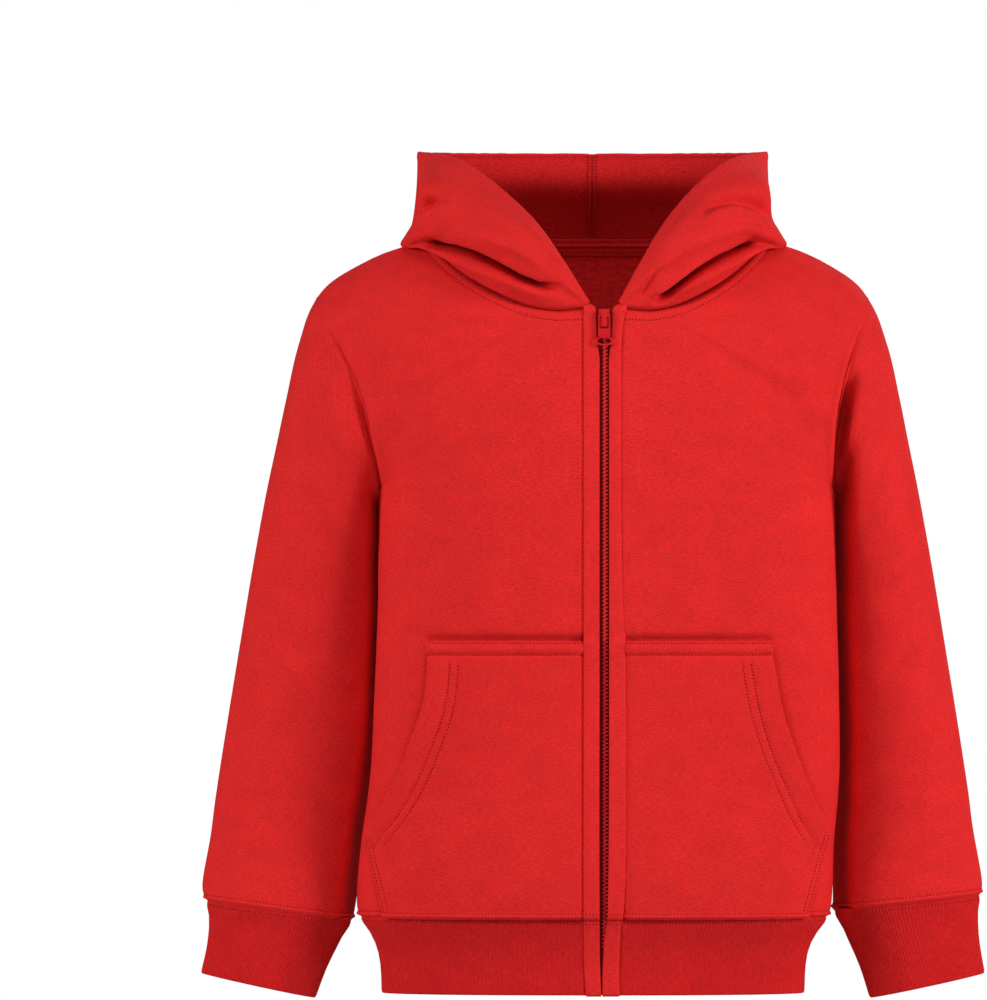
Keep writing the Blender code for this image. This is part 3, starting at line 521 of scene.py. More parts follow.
def hood_lines(side, shares):
    """Points from the neck seam to the rim, for each share of the neckline: control rows by columns."""
    turn = NECK_STEPS / (NECK_STEPS + BACK_NECK_COLUMNS)
    columns = []
    for share in shares:
        if share <= turn:
            seam = neck_point(side, share / turn, False)
        else:
            seam = neck_point(side, (share - turn) / (1 - turn), True)
        middle = read(HOOD_MIDDLE, share)[0]
        points = read(HOOD, share).reshape(len(HOOD_LINES), 3)
        columns.append([seam] + [np.array((middle + side * out, y, z)) for out, y, z in points])
    return np.array(columns).transpose(1, 0, 2)


def strip_net(side, rows, near, far, columns):
    """A strip beside the zip, down the middle of the front; near and far are its edges from the zip."""
    net = []
    for z in rows:
        y = front_middle_y(z)
        outs = [near(z) + (far - near(z)) * step / columns for step in range(columns + 1)]
        net.append([np.array((ZIP_X + side * out, y, z)) for out in outs])
    return np.array(net)


# ---------------------------------------------------------------- sewing and finish

# distance between points, then between those near both ends, and how far that goes on at each end:
# across and down the fronts and the back, and down the other pieces
FRONT_STEPS = ((2.4, 0.75, 9.0, 9.0), (2.6, 0.75, 9.0, 6.0))
BACK_STEPS = ((3.3, 0.9, 7.0, 7.0), (3.0, 0.75, 9.0, 8.0))
SLEEVE_STEPS = (2.7, 0.75, 7.0, 10.0)
HOOD_DOWN = (1.5, 0.7, 6.0, 3.5)
POCKET_DOWN = (2.0, 0.75, 5.0, 13.0)
# distance between marks along a line that distances are taken from
LINE_STEP = 1.2
# how far the cloth beside a crease rises, as a share of the crease's depth, and how much deeper
# the back's creases are pressed
CREASE_LEAN = 0.25
BACK_DEEPER = 1.6
# distances from a seam, and how far the cloth rises or sinks
HEM_ROLL = 1.5
HEM_ROLL_AT = 2.7
HEM_STITCH_ABOVE = 4.6
HEM_STITCH_BELOW = 2.8
NECK_STITCH = 7.0
SHOULDER_STITCH = 3.6
# near the shoulder point the seams lie flat
SHOULDER_FADE_Z = (-44.0, 30.0)
SHOULDER_FADE_X = (188.0, 25.0)
# the sleeve's cloth tucks in beside the armhole: how deep, how far from the seam, and where it is back
ARMHOLE_TUCK = {"right": (7.0, 1.5, 8.0), "left": (26.0, 4.0, 8.0)}
# where its tuck and its inner edge's turn back set in, and over what height
TUCK_Z = (-80.0, 42.0)
INSET_Z = (-132.0, 25.0)
# creases fade towards the sleeve's outer edge
CREASE_FADE = 16.0
RIB_PITCH = 1.9
RIB_POINTS = 4
RIB_DEPTH = 0.22
SLEEVE_AROUND = 132
HOOD_AROUND = 150
POCKET_STRIP = 27.0
POCKET_STITCH = (15.5, 21.8)
POCKET_STITCH_ENDS = (-423.0, -290.0)
POCKET_SIDE_STITCH = (2.0, 6.0)
POCKET_TOP_STITCH = (1.4, 9.8)
POCKET_CORNER_Z = -411.0
POCKET_SHADE = 4.6
HOOD_STITCH = 2.6
# share of the neckline from which the hood hangs behind the neck, and how far its foot lies lower there
HOOD_BEHIND = (0.62, 0.12)
HOOD_FOOT_LOWER = 5.5
# the rim's inner side curls forward: how far, at what height, and from what share of the neckline
HOOD_CURL = 9.0
HOOD_CURL_Z = (46.0, 13.0)
HOOD_CURL_FROM = (0.7, 0.15)
# the hood's rolled sides lie lower, swell out and end in a tip: how far, at what height, how far out
HOOD_SIDE_LOWER = 9.5
HOOD_SIDE_Z = (17.0, 15.0)
HOOD_SIDE_OUT = (100.0, 22.0)
HOOD_LOBE = 2.0
HOOD_LOBE_Z = (9.5, 6.5)
HOOD_LOBE_OUT = (108.0, 14.0)
HOOD_TIP_LOWER = 2.6
HOOD_TIP_Z = (1.0, 5.0)
HOOD_TIP_OUT = (120.0, 10.0)
# the shoulder's rounding: z, how far out, and over what height; then how far out it sets in
SHOULDER_SWELL = ((-25.0, 2.4, 11.0), (-37.0, -0.7, 4.0), (-49.0, 1.6, 12.0))
SHOULDER_OUT = (150.0, 22.0)
TAPE_STITCH = 1.5
STITCH_PITCH = 2.4
# length, width and height of a thread, and of the dark piece of painted shade that stands for the pit
# between two
STITCH_SIZE = (1.6, 0.62, 0.5)
PIT_SHADE_SIZE = (1.15, 0.95, 0.3)
STITCH_LIFT = 0.1
# how far each sleeve leans on the body just below the armhole
LEAN_IN = {"right": 3.6, "left": 4.6}
LEAN_Z = -180.0
LEAN_REACH = 34.0
# how far the sleeve's inner edge hangs back: z, y
SLEEVE_INSET = {
    "right": ((-460, 16), (-390, 14), (-320, 7), (-248, 6), (-172, 5)),
    "left": ((-460, 26), (-390, 24), (-320, 18), (-262, 10), (-225, 16), (-172, 26)),
}
# the band's rounded top, its lower end, and its edges from the zip at each height
BAND_TIP = 5.5
BAND_DIP = 1.8
BAND_TIP_LEAN = 0.18
BAND_TIP_LIFT = 1.4
BAND_LOW = 0.7
BAND_RAISED = 0.35
# points across a band, as shares of its width: close at both edges
BAND_ACROSS = np.array((0.0, 0.12, 0.4, 0.8, 1.4, 2.4, 3.8, 5.2, 6.6, 8.0, 8.8, 9.4, 9.8, 10.2)) / 10.2
BAND_GROOVE = {"right": 0.35, "left": 1.7}
BAND_OVER_POCKET = 1.3
BAND_EDGES = {
    "right": ((-524, 1.9, 12.5), (-505, 2.7, 13.8), (-486, 3.1, 14.2), (-470, 3.2, 14.3),
              (-300, 3.3, 14.3), (-130, 3.3, 14.3), (-90, 3.3, 14.3), (-80, 3.3, 14.3), (-74, 4, 14.3),
              (-68, 4.9, 14.3), (-60, 5.2, 14.3), (-52, 5.4, 14.3), (-45, 5.6, 14.3)),
    "left": ((-524, -1.2, 10.9), (-505, -1, 10.6), (-486, 0.1, 11.2), (-470, 2.1, 13), (-450, 2.6, 14.6),
             (-374, 3.2, 15.9), (-318, 3.3, 15.8), (-262, 3.3, 14.4), (-220, 3.3, 12.6),
             (-178, 3.3, 11.9), (-130, 3.3, 11.9), (-90, 3.3, 11.9), (-80, 3.3, 11.9), (-74, 4, 11.9),
             (-68, 4.9, 12.2), (-60, 5.2, 12.9), (-52, 5.4, 14.2), (-45, 5.6, 17)),
}
# folds and creases: points x, z as they are seen from the front, or x, y, z; then, for a
# crease, how wide and how deep it is. The hood's folds end at a share of the neckline, and its creases
# with points x, z are on what faces forward only.
HOOD_FOLDS_END = (0.62, 0.06)
HOOD_FRONT_Y = (-15.0, 10.0)
HOOD_FOLDS = {
    "right": (
        (((-22, -31), (-30.5, -27.3), (-50.4, -19.3), (-68.6, -9.1), (-82, -2.5), (-96.6, 2.1), (-110, 3.5),
          (-119, 2.5)),
         {"deep": 25, "lip": 5.5, "drop": 4.6, "reach": 5, "ends": (0.2, 0.2)}),
        (((-127, 19), (-120, 21.5), (-113, 26), (-107, 32)),
         {"deep": 13, "lip": 4, "drop": 3, "reach": 7, "hangs": False, "ends": (0.1, 0.3)}),
    ),
    "left": (
        (((38, -41), (42.7, -37.8), (52, -30), (63, -21.7), (74, -13.5), (86.8, -5.6), (100, 0.5),
          (114, 3.5)),
         {"deep": 25, "lip": 5, "drop": 4.4, "reach": 5, "ends": (0.22, 0.2)}),
        (((72, 19), (86, 24.5), (100, 26.8), (114, 23.2), (128, 12)),
         {"deep": 10, "lip": 3.4, "drop": 2.8, "wide": 3.5, "reach": 8, "hangs": False, "ends": (0.3, 0.1)}),
    ),
}
HOOD_CREASES = {
    "right": (
        (((-72, 20), (-64, 8), (-58, -3)), 3.5, 0.9),
        (((-122, 24), (-117, 27.5), (-111, 32), (-106, 38)), 4.6, 4.2),
        (((-10, 139, -30), (-40, 134, -42), (-70, 122, -38)), 8, 2.2),
        (((-30, 136, -78), (-55, 128, -70), (-78, 112, -60)), 7, 1.8),
        (((-118, 62, 44), (-108, 88, 30), (-88, 112, 22)), 8, 1.8),
    ),
    "left": (
        (((47.6, -16.8), (40, -27), (31.5, -38.5)), 2.2, 2.6),
        (((98, 31), (112, 28.5), (122, 21), (129, 10)), 5, 3),
        (((6, 139, -52), (36, 135, -58), (66, 124, -52)), 8, 2),
        (((20, 138, -8), (50, 132, -14), (80, 120, -6)), 9, 1.6),
        (((118, 60, 40), (106, 88, 34), (86, 114, 30)), 8, 2),
    ),
}
FRONT_CREASES = {
    "right": (
        (((-162, -62), (-150, -104), (-141, -150)), 9, 1.7),
        (((-140, -92), (-127, -118), (-118, -142)), 8, 0.8),
        (((-150, -196), (-118, -214), (-78, -224)), 14, 1.1),
        (((-66, -112), (-36, -146), (-10, -176)), 13, 0.9),
        (((-146, -250), (-128, -278), (-121, -312)), 10, 0.9),
        (((-66, -232), (-34, -248), (-8, -254)), 11, 0.7),
        (((-150, -446), (-142, -430), (-139, -410)), 6, 1),
    ),
    "left": (
        (((176, -60), (168, -98), (161, -146)), 8, 2),
        (((156, -88), (142, -112), (133, -136)), 6, 1.1),
        (((167, -104), (152, -108), (138, -106)), 4, 0.7),
        (((168, -212), (134, -226), (92, -232)), 14, 1),
        (((84, -104), (56, -140), (42, -184)), 14, 0.9),
        (((166, -318), (142, -300), (126, -276)), 11, 0.9),
        (((30, -206), (52, -226), (82, -238)), 11, 0.7),
    ),
}
SLEEVE_CREASES = {
    "right": (
        (((-196, -66), (-202, -108), (-206, -156)), 12, 1.6),
        (((-176, -150), (-184, -186), (-186, -226)), 9, 1.2),
        (((-240, -214), (-222, -236), (-190, -246)), 9, 1.6),
        (((-250, -268), (-222, -280), (-184, -276)), 10, 1.1),
        (((-258, -322), (-236, -342), (-196, -346)), 12, 1.5),
        (((-266, -378), (-238, -396), (-196, -392)), 11, 1.2),
        (((-268, -424), (-244, -436), (-206, -430)), 9, 1.3),
        (((-252, -444), (-240, -420), (-238, -396)), 6, 0.8),
    ),
    "left": (
        (((197, -62), (206, -112), (208, -166)), 12, 1.7),
        (((184, -160), (194, -196), (200, -232)), 9, 1.1),
        (((238, -226), (216, -242), (186, -240)), 10, 1.5),
        (((250, -290), (226, -298), (190, -288)), 11, 1.2),
        (((260, -344), (238, -362), (200, -366)), 11, 1.5),
        (((264, -396), (240, -410), (204, -404)), 10, 1.2),
        (((270, -436), (246, -440), (210, -430)), 8, 1.1),
    ),
}
BACK_CREASES = (
    (((-120, 50, -52), (-60, 78, -70), (0, 82, -76), (60, 78, -68), (122, 50, -54)), 18, 1.4),
    (((-158, 40, -110), (-128, 66, -152), (-104, 78, -206)), 11, 1.9),
    (((172, 40, -104), (146, 62, -140), (128, 74, -186)), 10, 1.7),
    (((-70, 86, -238), (-24, 88, -262), (34, 88, -258)), 15, 1.3),
    (((-126, 70, -330), (-74, 84, -352), (-14, 88, -346)), 13, 1.5),
    (((36, 88, -392), (88, 82, -380), (140, 62, -388)), 12, 1.4),
    (((-30, 88, -440), (14, 89, -434), (56, 86, -442)), 9, 0.9),
    (((120, 74, -262), (138, 66, -296), (142, 62, -334)), 10, 1.1),
)


# ---------------------------------------------------------------- fine surfaces

def spline(net, places, closed=False, corners=()):
    """Rows of a net at fractional row numbers, on the cubic through its rows.

    corners lists a row and its sharpness, from 0 to 1 for each point of that row.
    """
    net = np.asarray(net, float)
    places = np.asarray(places, float)
    count = len(net)
    if closed:
        before = (np.roll(net, -1, axis=0) - np.roll(net, 1, axis=0)) / 2
        low = np.floor(places).astype(int) % count
        high = (low + 1) % count
        t = places - np.floor(places)
    else:
        before = np.gradient(net, axis=0)
        low = np.clip(places.astype(int), 0, count - 2)
        high = low + 1
        t = places - low
    after = before.copy()
    for row, sharp in corners:
        sharp = np.asarray(sharp, float).reshape(-1, *([1] * (net.ndim - 2)))
        before[row] += sharp * (net[row] - net[row - 1] - before[row])
        after[row] += sharp * (net[row + 1] - net[row] - after[row])
    t = t.reshape((-1,) + (1,) * (net.ndim - 1))
    return hermite(net[low], net[high], after[low], before[high], t)


def turned(net):
    return np.swapaxes(net, 0, 1)


def refined(net, rows, columns, closed=False):
    """The smooth surface through a net, at fractional row and column numbers."""
    return turned(spline(turned(spline(net, rows)), columns, closed))


def run_of(net, closed=False):
    """Mean distance of each row from the first, and of the row after the last on a closed net."""
    steps = np.linalg.norm(np.diff(net, axis=0), axis=-1).mean(axis=1)
    if closed:
        steps = np.append(steps, np.linalg.norm(net[0] - net[-1], axis=-1).mean())
    return np.concatenate(([0.0], np.cumsum(steps)))


def graded(total, wide, fine, low, high):
    """Distances from 0 to total: fine steps for the lengths low and high at the ends, wide between."""
    near = np.arange(0.0, low, fine)
    far = total - np.arange(0.0, high, fine)[::-1]
    count = max(int(round((total - low - high) / wide)), 2)
    start, stop = (low if low else 0.0), (total - high if high else total)
    middle = np.linspace(start, stop, count + 1)
    if len(far) and far[0] - middle[-1] < fine / 2:
        middle = middle[:-1]
    return np.concatenate((near, middle, far))


def places_at(run, distances):
    return np.interp(distances, run, np.arange(len(run)))


def unit(vectors):
    return vectors / np.maximum(np.linalg.norm(vectors, axis=-1, keepdims=True), 1e-9)


def looped(net):
    """A closed net with its first column once more at the end."""
    return np.concatenate((net, net[:, :1]), axis=1)


def normals_of(net, flip, closed=False):
    """Outward directions of a net, from its neighbouring points."""
    down = np.gradient(net, axis=0)
    if closed:
        across = np.roll(net, -1, axis=1) - np.roll(net, 1, axis=1)
    else:
        across = np.gradient(net, axis=1)
    return unit(flip * np.cross(across, down))


def away(points, line):
    """How far each point of a net is from a line of points, and where along the line, from 0 to 1."""
    line = np.asarray(line, float)
    run = lengths_to(line)
    line = sampled(np.linspace(0, run[-1], max(int(run[-1] / LINE_STEP), 8)), run, line)
    flat = points.reshape(-1, points.shape[-1])
    squares = (flat ** 2).sum(axis=1)[:, None] + (line ** 2).sum(axis=1) - 2 * flat @ line.T
    near = squares.argmin(axis=1)
    far = np.sqrt(np.maximum(squares[np.arange(len(flat)), near], 0))
    shape = points.shape[:-1]
    return far.reshape(shape), (near / (len(line) - 1)).reshape(shape)


def from_line(points, line):
    """How far each point of a net is from a line of points."""
    return away(points, line)[0]


def hump(distance, wide):
    return np.exp(-(distance / wide) ** 2)


def contour(field, level):
    """Lines on a net where a field crosses a level: lists of neighbouring points it passes between."""
    above = field >= level
    count = above[:-1, :-1].astype(int) + above[1:, :-1] + above[:-1, 1:] + above[1:, 1:]
    joins = {}
    for row, column in zip(*np.nonzero((count > 0) & (count < 4))):
        one, two, three, four = (row, column), (row, column + 1), (row + 1, column + 1), (row + 1, column)
        crossed = [pair for pair in ((one, two), (two, three), (four, three), (one, four))
                   if above[pair[0]] != above[pair[1]]]
        if len(crossed) == 2:
            joins.setdefault(crossed[0], []).append(crossed[1])
            joins.setdefault(crossed[1], []).append(crossed[0])
    lines = []
    while joins:
        line = [next((place for place, others in joins.items() if len(others) == 1), next(iter(joins)))]
        while line[-1] in joins:
            following = [place for place in joins.pop(line[-1]) if place in joins]
            line += following[:1]
        lines.append(line)
    return lines


class Cloth:
    """One cut piece: the net of its outer face, the way it faces, and its thickness at every point."""

    def __init__(self, net, flip, closed=False, thick=BODY_CLOTH):
        self.net = np.asarray(net, float)
        self.flip = flip
        self.closed = closed
        self.thick = np.broadcast_to(np.asarray(thick, float), self.net.shape[:2]).copy()
        self.base = self.net.copy()
        self.normals = normals_of(self.net, flip, closed)
        self.marks = []
        self.sewn_inside = False

    def press(self, height):
        """Moves every point along its own direction, by a height that may be negative."""
        self.net = self.net + self.normals * height[..., None]

    def seam(self, line, groove=1.5, wide=1.7, roll=0.7, roll_at=4.2, roll_wide=2.8, where=1.0):
        """A sewn edge: the cloth dips to the seam and rises in a roll beside it."""
        far = from_line(self.base, line)
        self.press(where * (roll * hump(far - roll_at, roll_wide) - groove * hump(far, wide)))
        return far

    def topstitch(self, far, level, depth=0.5, wide=1.0, lowest=-1e9, highest=1e9):
        """A row of stitches at one distance from an edge, between two heights; it pulls the cloth down."""
        z = self.base[..., 2]
        self.press(-depth * hump(far - level, wide) * ((z > lowest) & (z < highest)))
        self.marks.append((far, level, lowest, highest))

    def hem(self, line, groove=2.0, roll_wide=1.8):
        """The seam above a rib, with its row of stitches."""
        far = self.seam(line, groove, roll=HEM_ROLL, roll_at=HEM_ROLL_AT, roll_wide=roll_wide)
        self.topstitch(far, HEM_STITCH_ABOVE, depth=0.7)

    def fold(self, line, deep, lip, drop, ends, wide=2.5, reach=7.0, roll=9.0, hangs=True, where=1.0):
        """A fold along a line of x and z: a lip hangs over, or stands behind, cloth that is tucked in."""
        line = np.array(sorted(line), float)
        far, place = away(self.base[..., [0, 2]], line)
        level = np.interp(self.base[..., 0], line[:, 0], line[:, 1])
        over = far * np.where((self.base[..., 2] > level) == hangs, 1.0, -1.0)
        taper = where * ease(place / ends[0]) * ease((1 - place) / ends[1])
        tucked = np.where(over < 0, hump(over, reach), 1 - ease(over / wide))
        lifted = ease(over / wide) * hump(np.maximum(over - wide, 0), roll)
        self.net[..., 1] += taper * (deep * tucked - lip * lifted)
        self.net[..., 2] -= (1 if hangs else -1) * taper * drop * hump(over - 0.9 * wide, wide)

    def settle(self):
        """Takes the cloth's directions anew from its shape so far."""
        self.normals = normals_of(self.net, self.flip, self.closed)

    def stitch_lines(self):
        """Points and directions along each row of stitches."""
        net, facing = self.net, self.normals
        if self.closed:
            net, facing = looped(net), looped(facing)
        for far, level, lowest, highest in self.marks:
            if self.closed:
                far = looped(far)
            for line in contour(far, level):
                share = np.array([(level - far[one]) / (far[other] - far[one]) for one, other in line])
                mixed = [[field[one] * (1 - part) + field[other] * part
                          for (one, other), part in zip(line, share)] for field in (net, facing)]
                points, directions = np.array(mixed[0]), np.array(mixed[1])
                kept = (points[:, 2] > lowest) & (points[:, 2] < highest)
                if kept.sum() > 2:
                    yield points[kept], directions[kept]

    def crease(self, points, wide, depth, lean=CREASE_LEAN, where=1.0):
        """A soft trough; lean lifts the cloth beside it, as a share of the depth."""
        axes = [0, 2] if len(points[0]) == 2 else [0, 1, 2]
        far, place = away(self.base[..., axes], points)
        taper = np.sin(pi * np.clip(place, 0.02, 0.98)) ** 0.7
        ends = np.where((place <= 0) | (place >= 1), 0.5, 1.0)
        self.press(where * taper * ends * depth * (lean * hump(far - 1.6 * wide, wide) - hump(far, wide)))

    def free_edge(self, far):
        """Rounds an edge that is not sewn to anything, by thinning the wall elliptically."""
        share = np.clip(far / (self.thick / 2), 0.0, 1.0)
        kept = np.sqrt(np.maximum(1 - (1 - share) ** 2, 0.01))
        lost = self.thick * (1 - kept)
        self.press(-lost / 2)
        self.thick = self.thick - lost


def shell(name, cloth, outside, inside=None):
    """The closed mesh of one cut piece: its outer face, its inner face and its edges."""
    outer = cloth.net
    inner = outer - cloth.normals * cloth.thick[..., None]
    across, down = run_of(turned(outer), cloth.closed) * MM, run_of(outer) * MM
    if cloth.closed:
        outer, inner = looped(outer), looped(inner)
    rows, columns = outer.shape[:2]
    grid = bmesh.new()
    bmesh.ops.create_grid(grid, x_segments=columns - 1, y_segments=rows - 1, size=1.0)
    grid.verts.ensure_lookup_table()
    number = grid.verts.layers.int.new("number")
    layer = grid.loops.layers.uv.new("cloth")
    for index, vert in enumerate(grid.verts):
        vert[number] = index
    for face in grid.faces:
        for loop in face.loops:
            row, column = divmod(loop.vert.index, columns)
            loop[layer].uv = (across[column], down[row])
    first = list(grid.faces)
    made = bmesh.ops.extrude_face_region(grid, geom=first, use_keep_orig=True)["geom"]
    raised = {item for item in made if isinstance(item, bmesh.types.BMVert)}
    outer, inner = outer.reshape(-1, 3) * MM, inner.reshape(-1, 3) * MM
    for vert in grid.verts:
        vert.co = outer[vert[number]] if vert in raised else inner[vert[number]]
    for face in first:
        face.material_index = 1 if inside else 0
    if cloth.closed:
        ends = [vert for vert in grid.verts if vert[number] % columns in (0, columns - 1)]
        doubled = [face for face in grid.faces if any(
            all(vert[number] % columns == end for vert in face.verts) for end in (0, columns - 1))]
        bmesh.ops.delete(grid, geom=doubled, context="FACES")
        bmesh.ops.remove_doubles(grid, verts=ends, dist=1e-7)
    bmesh.ops.recalc_face_normals(grid, faces=grid.faces)
    if grid.calc_volume(signed=True) < 0:
        bmesh.ops.reverse_faces(grid, faces=grid.faces)
    return finished(name, grid, outside, inside)


def placed(name, data):
    """A new object in the scene, at the origin."""
    made = bpy.data.objects.new(name, data)
    bpy.context.scene.collection.objects.link(made)
    return made


def finished(name, shape, *materials, body=BODY):
    """An object at the origin with this shape, riding on the garment or another body."""
    mesh = bpy.data.meshes.new(name)
    shape.to_mesh(mesh)
    shape.free()
    for made in materials:
        if made:
            mesh.materials.append(made)
    mesh.shade_smooth()
    piece = placed(name, mesh)
    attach(piece, body)
    return piece


def declare(cloth):
    """Works out the cloth's cut, its longest row and column and the flat area of what shows, and keeps none
    of it.
    """
    middle = (cloth.base - cloth.normals * cloth.thick[..., None] / 2) * MM
    if cloth.closed:
        middle = looped(middle)
    one, other = middle[1:, 1:] - middle[:-1, :-1], middle[1:, :-1] - middle[:-1, 1:]
    area = float(np.linalg.norm(np.cross(one, other), axis=-1).sum() / 2)
    wide = float(np.linalg.norm(np.diff(middle, axis=1), axis=-1).sum(axis=1).max())
    tall = float(np.linalg.norm(np.diff(middle, axis=0), axis=-1).sum(axis=0).max())
    area = min(area, wide * tall)


# ---------------------------------------------------------------- cut pieces

def rounded_shoulder(base):
    """How far each point goes sideways, so that the shoulder runs round into the sleeve."""
    x, z = base[..., 0], base[..., 2]
    swell = sum(out * hump(z - at, reach) for at, out, reach in SHOULDER_SWELL)
    return np.sign(x) * swell * past(np.abs(x), *SHOULDER_OUT)


def below_shoulder(base):
    """1 below the shoulder point, 0 at it."""
    return until(base[..., 2], *SHOULDER_FADE_Z)


def beside_shoulder(base):
    """1 between the shoulder points, 0 at them."""
    return until(np.abs(base[..., 0]), *SHOULDER_FADE_X)


def sharpness(count, at, reach):
    """1 at one column and 0 from reach columns away."""
    return np.clip(1 - np.abs(np.arange(count) - at) / reach, 0, 1)


def body_surface(net, steps, under, neck=None, top_corners=()):
    """The smooth surface of a front or the back, and its fractional row numbers.

    Its rows turn sharply at the columns under the arms and, on a front, at the neck's column.
    """
    width = net.shape[1]
    run, run_across = run_of(net), run_of(turned(net[:UNDERARM_ROW + 1]))
    rows = places_at(run, graded(run[-1], *steps[1]))
    corners = [] if neck is None else [(NECK_ROW, sharpness(width, neck, 2))]
    corners.append((UNDERARM_ROW, np.max([sharpness(width, column, 2) for column in under], axis=0)))
    fine = turned(spline(net, rows, corners=corners))
    columns = places_at(run_across, graded(run_across[-1], *steps[0]))
    rise = np.clip((rows - (TOP_ROW - 4)) / 4, 0, 1)
    return turned(spline(fine, columns, corners=[(column, rise) for column in top_corners])), rows


def front_cloth(name):
    side = SIDES[name]
    surface, rows = body_surface(front_net(side), FRONT_STEPS, [FRONT_COLUMNS], 0)
    cloth = Cloth(surface, side)
    neck = rows >= NECK_ROW
    arm = rows >= UNDERARM_ROW
    base = cloth.base
    cloth.net[..., 0] += rounded_shoulder(base)
    cloth.hem(base[0])
    cloth.seam(base[~neck, 0], groove=1.2, roll=0.25, roll_at=3.0)
    cloth.topstitch(cloth.seam(base[neck, 0], roll=0.5), NECK_STITCH)
    cloth.seam(base[~arm, -1], groove=0.7, roll=0.4)
    cloth.seam(base[arm, -1], groove=1.6, roll=0.5, roll_at=3.4, roll_wide=2.2, where=below_shoulder(base))
    cloth.seam(base[-1], groove=1.2, roll=0.2, where=beside_shoulder(base))
    for points, wide, depth in FRONT_CREASES[name]:
        cloth.crease(points, wide, depth)
    outline = POCKET[name] + ((POCKET_TOP_Z, POCKET_SEAM),)
    rim = from_line(base[..., [0, 2]], [(ZIP_X + side * out, z) for z, out in outline])
    cloth.press(-POCKET_SHADE * hump(rim, 3.6))
    return cloth


def back_cloth():
    net = back_net()
    last = net.shape[1] - 1
    surface, rows = body_surface(net, BACK_STEPS, [0, last],
                                 top_corners=(FRONT_COLUMNS, last - FRONT_COLUMNS))
    cloth = Cloth(surface, -1)
    arm = rows >= UNDERARM_ROW
    base = cloth.base
    cloth.net[..., 0] += rounded_shoulder(base)
    cloth.hem(base[0])
    top = base[-1]
    middle, neck_half = NECK_BACK[0][:2]
    out = np.abs(top[:, 0] - middle)
    cloth.topstitch(cloth.seam(top[out <= neck_half + 1], roll=0.5), NECK_STITCH)
    for column in (0, -1):
        cloth.seam(base[~arm, column], groove=0.7, roll=0.4)
        cloth.seam(base[arm, column], groove=1.6, roll=0.3, where=below_shoulder(base))
    for side in SIDES.values():
        shoulder = top[(side * top[:, 0] > 0) & (out >= neck_half - 1)]
        far = cloth.seam(shoulder, groove=1.2, roll=0.3, where=beside_shoulder(base))
        cloth.topstitch(far, SHOULDER_STITCH, depth=0.35)
    for points, wide, depth in BACK_CREASES:
        cloth.crease(points, wide, BACK_DEEPER * depth)
    return cloth


def sleeve_cloth(name):
    side = SIDES[name]
    net = sleeve_net(name, side)
    run = run_of(net)
    columns = np.linspace(0, RING_POINTS, SLEEVE_AROUND, endpoint=False)
    rows = places_at(run, graded(run[-1], *SLEEVE_STEPS))
    cloth = Cloth(refined(net, rows, columns, True), side, closed=True)
    base = cloth.base
    cloth.net[..., 0] += rounded_shoulder(base)
    rings = looped(base)
    arm = cloth.seam(rings[0], groove=1.6, roll=0.8, roll_at=4.5, roll_wide=3.0, where=below_shoulder(base))
    cloth.hem(rings[-1], 1.3, 2.1)
    under = SLEEVE_AROUND // 2
    cloth.seam(base[:, under], groove=1.1, roll=0.2)
    out = side * base[..., 0]
    middle = until(out, out.max(axis=1, keepdims=True), CREASE_FADE)
    for points, wide, depth in SLEEVE_CREASES[name]:
        cloth.crease(points, wide, depth, where=middle)
    deep, hold, reach = ARMHOLE_TUCK[name]
    front = np.arange(SLEEVE_AROUND) < under
    z = base[..., 2]
    tuck = ease(arm / 1.4) * (1 - past(arm, hold, reach)) * until(z, *TUCK_Z) * front
    gap = out - out.min(axis=1, keepdims=True)
    inward = np.clip(1 - 2 * gap / out.ptp(axis=1, keepdims=True), 0, 1) ** 2
    cloth.net[..., 0] -= side * LEAN_IN[name] * inward * hump(z - LEAN_Z, LEAN_REACH)
    table = np.array(SLEEVE_INSET[name])
    inset = np.interp(z, table[:, 0], table[:, 1]) * (1 - past(gap, hold, reach + 3.0))
    inset *= ease(arm / 6.0) * until(z, *INSET_Z)
    cloth.net[..., 1] += np.maximum(deep * tuck, inset)
    return cloth


def rib_cloth(net, side, closed, roll, groove):
    """Knitted ribs that run down from a sewn seam, with a roll and a groove there, to a turned edge."""
    run = run_of(net)
    tall = run[-1]
    down = np.concatenate((np.arange(0.0, 5.0, 0.9), np.linspace(5.0, tall - 4.0, 7),
                           tall - np.array((2.4, 1.3, 0.7, 0.35, 0.12, 0.0))))
    points = int(round(run_of(turned(net), closed)[-1] / RIB_PITCH)) * RIB_POINTS
    if closed:
        columns = np.linspace(0, net.shape[1], points, endpoint=False)
    else:
        columns = np.linspace(0, net.shape[1] - 1, points + 1)
    cloth = Cloth(refined(net, places_at(run, down), columns, closed), side, closed, RIB_CLOTH)
    lines = looped(cloth.base) if closed else cloth.base
    edge, top = from_line(cloth.base, lines[-1]), from_line(cloth.base, lines[0])
    ribs = bpy.context.scene.hoodie_sizes.rib_depth * np.cos(2 * pi * np.arange(len(columns)) / RIB_POINTS)
    cloth.press(ease(top / 4.0) * ease(edge / 3.0) * ribs)
    cloth.press(roll * hump(top - 5.0, 3.5) - groove * hump(top, 1.6))
    if not closed:
        for column in (0, -1):
            cloth.seam(cloth.base[:, column], groove=1.2, roll=0.2)
    cloth.topstitch(top, HEM_STITCH_BELOW, depth=0.4)
    cloth.free_edge(edge)
    return cloth


def cuff_cloth(name):
    return rib_cloth(cuff_net(name, SIDES[name]), SIDES[name], True, 0.4, 1.2)


def hem_rib_cloth():
    return rib_cloth(np.array([level_row(z) for z in RIB_ROWS]), 1, False, 0.5, 2.0)


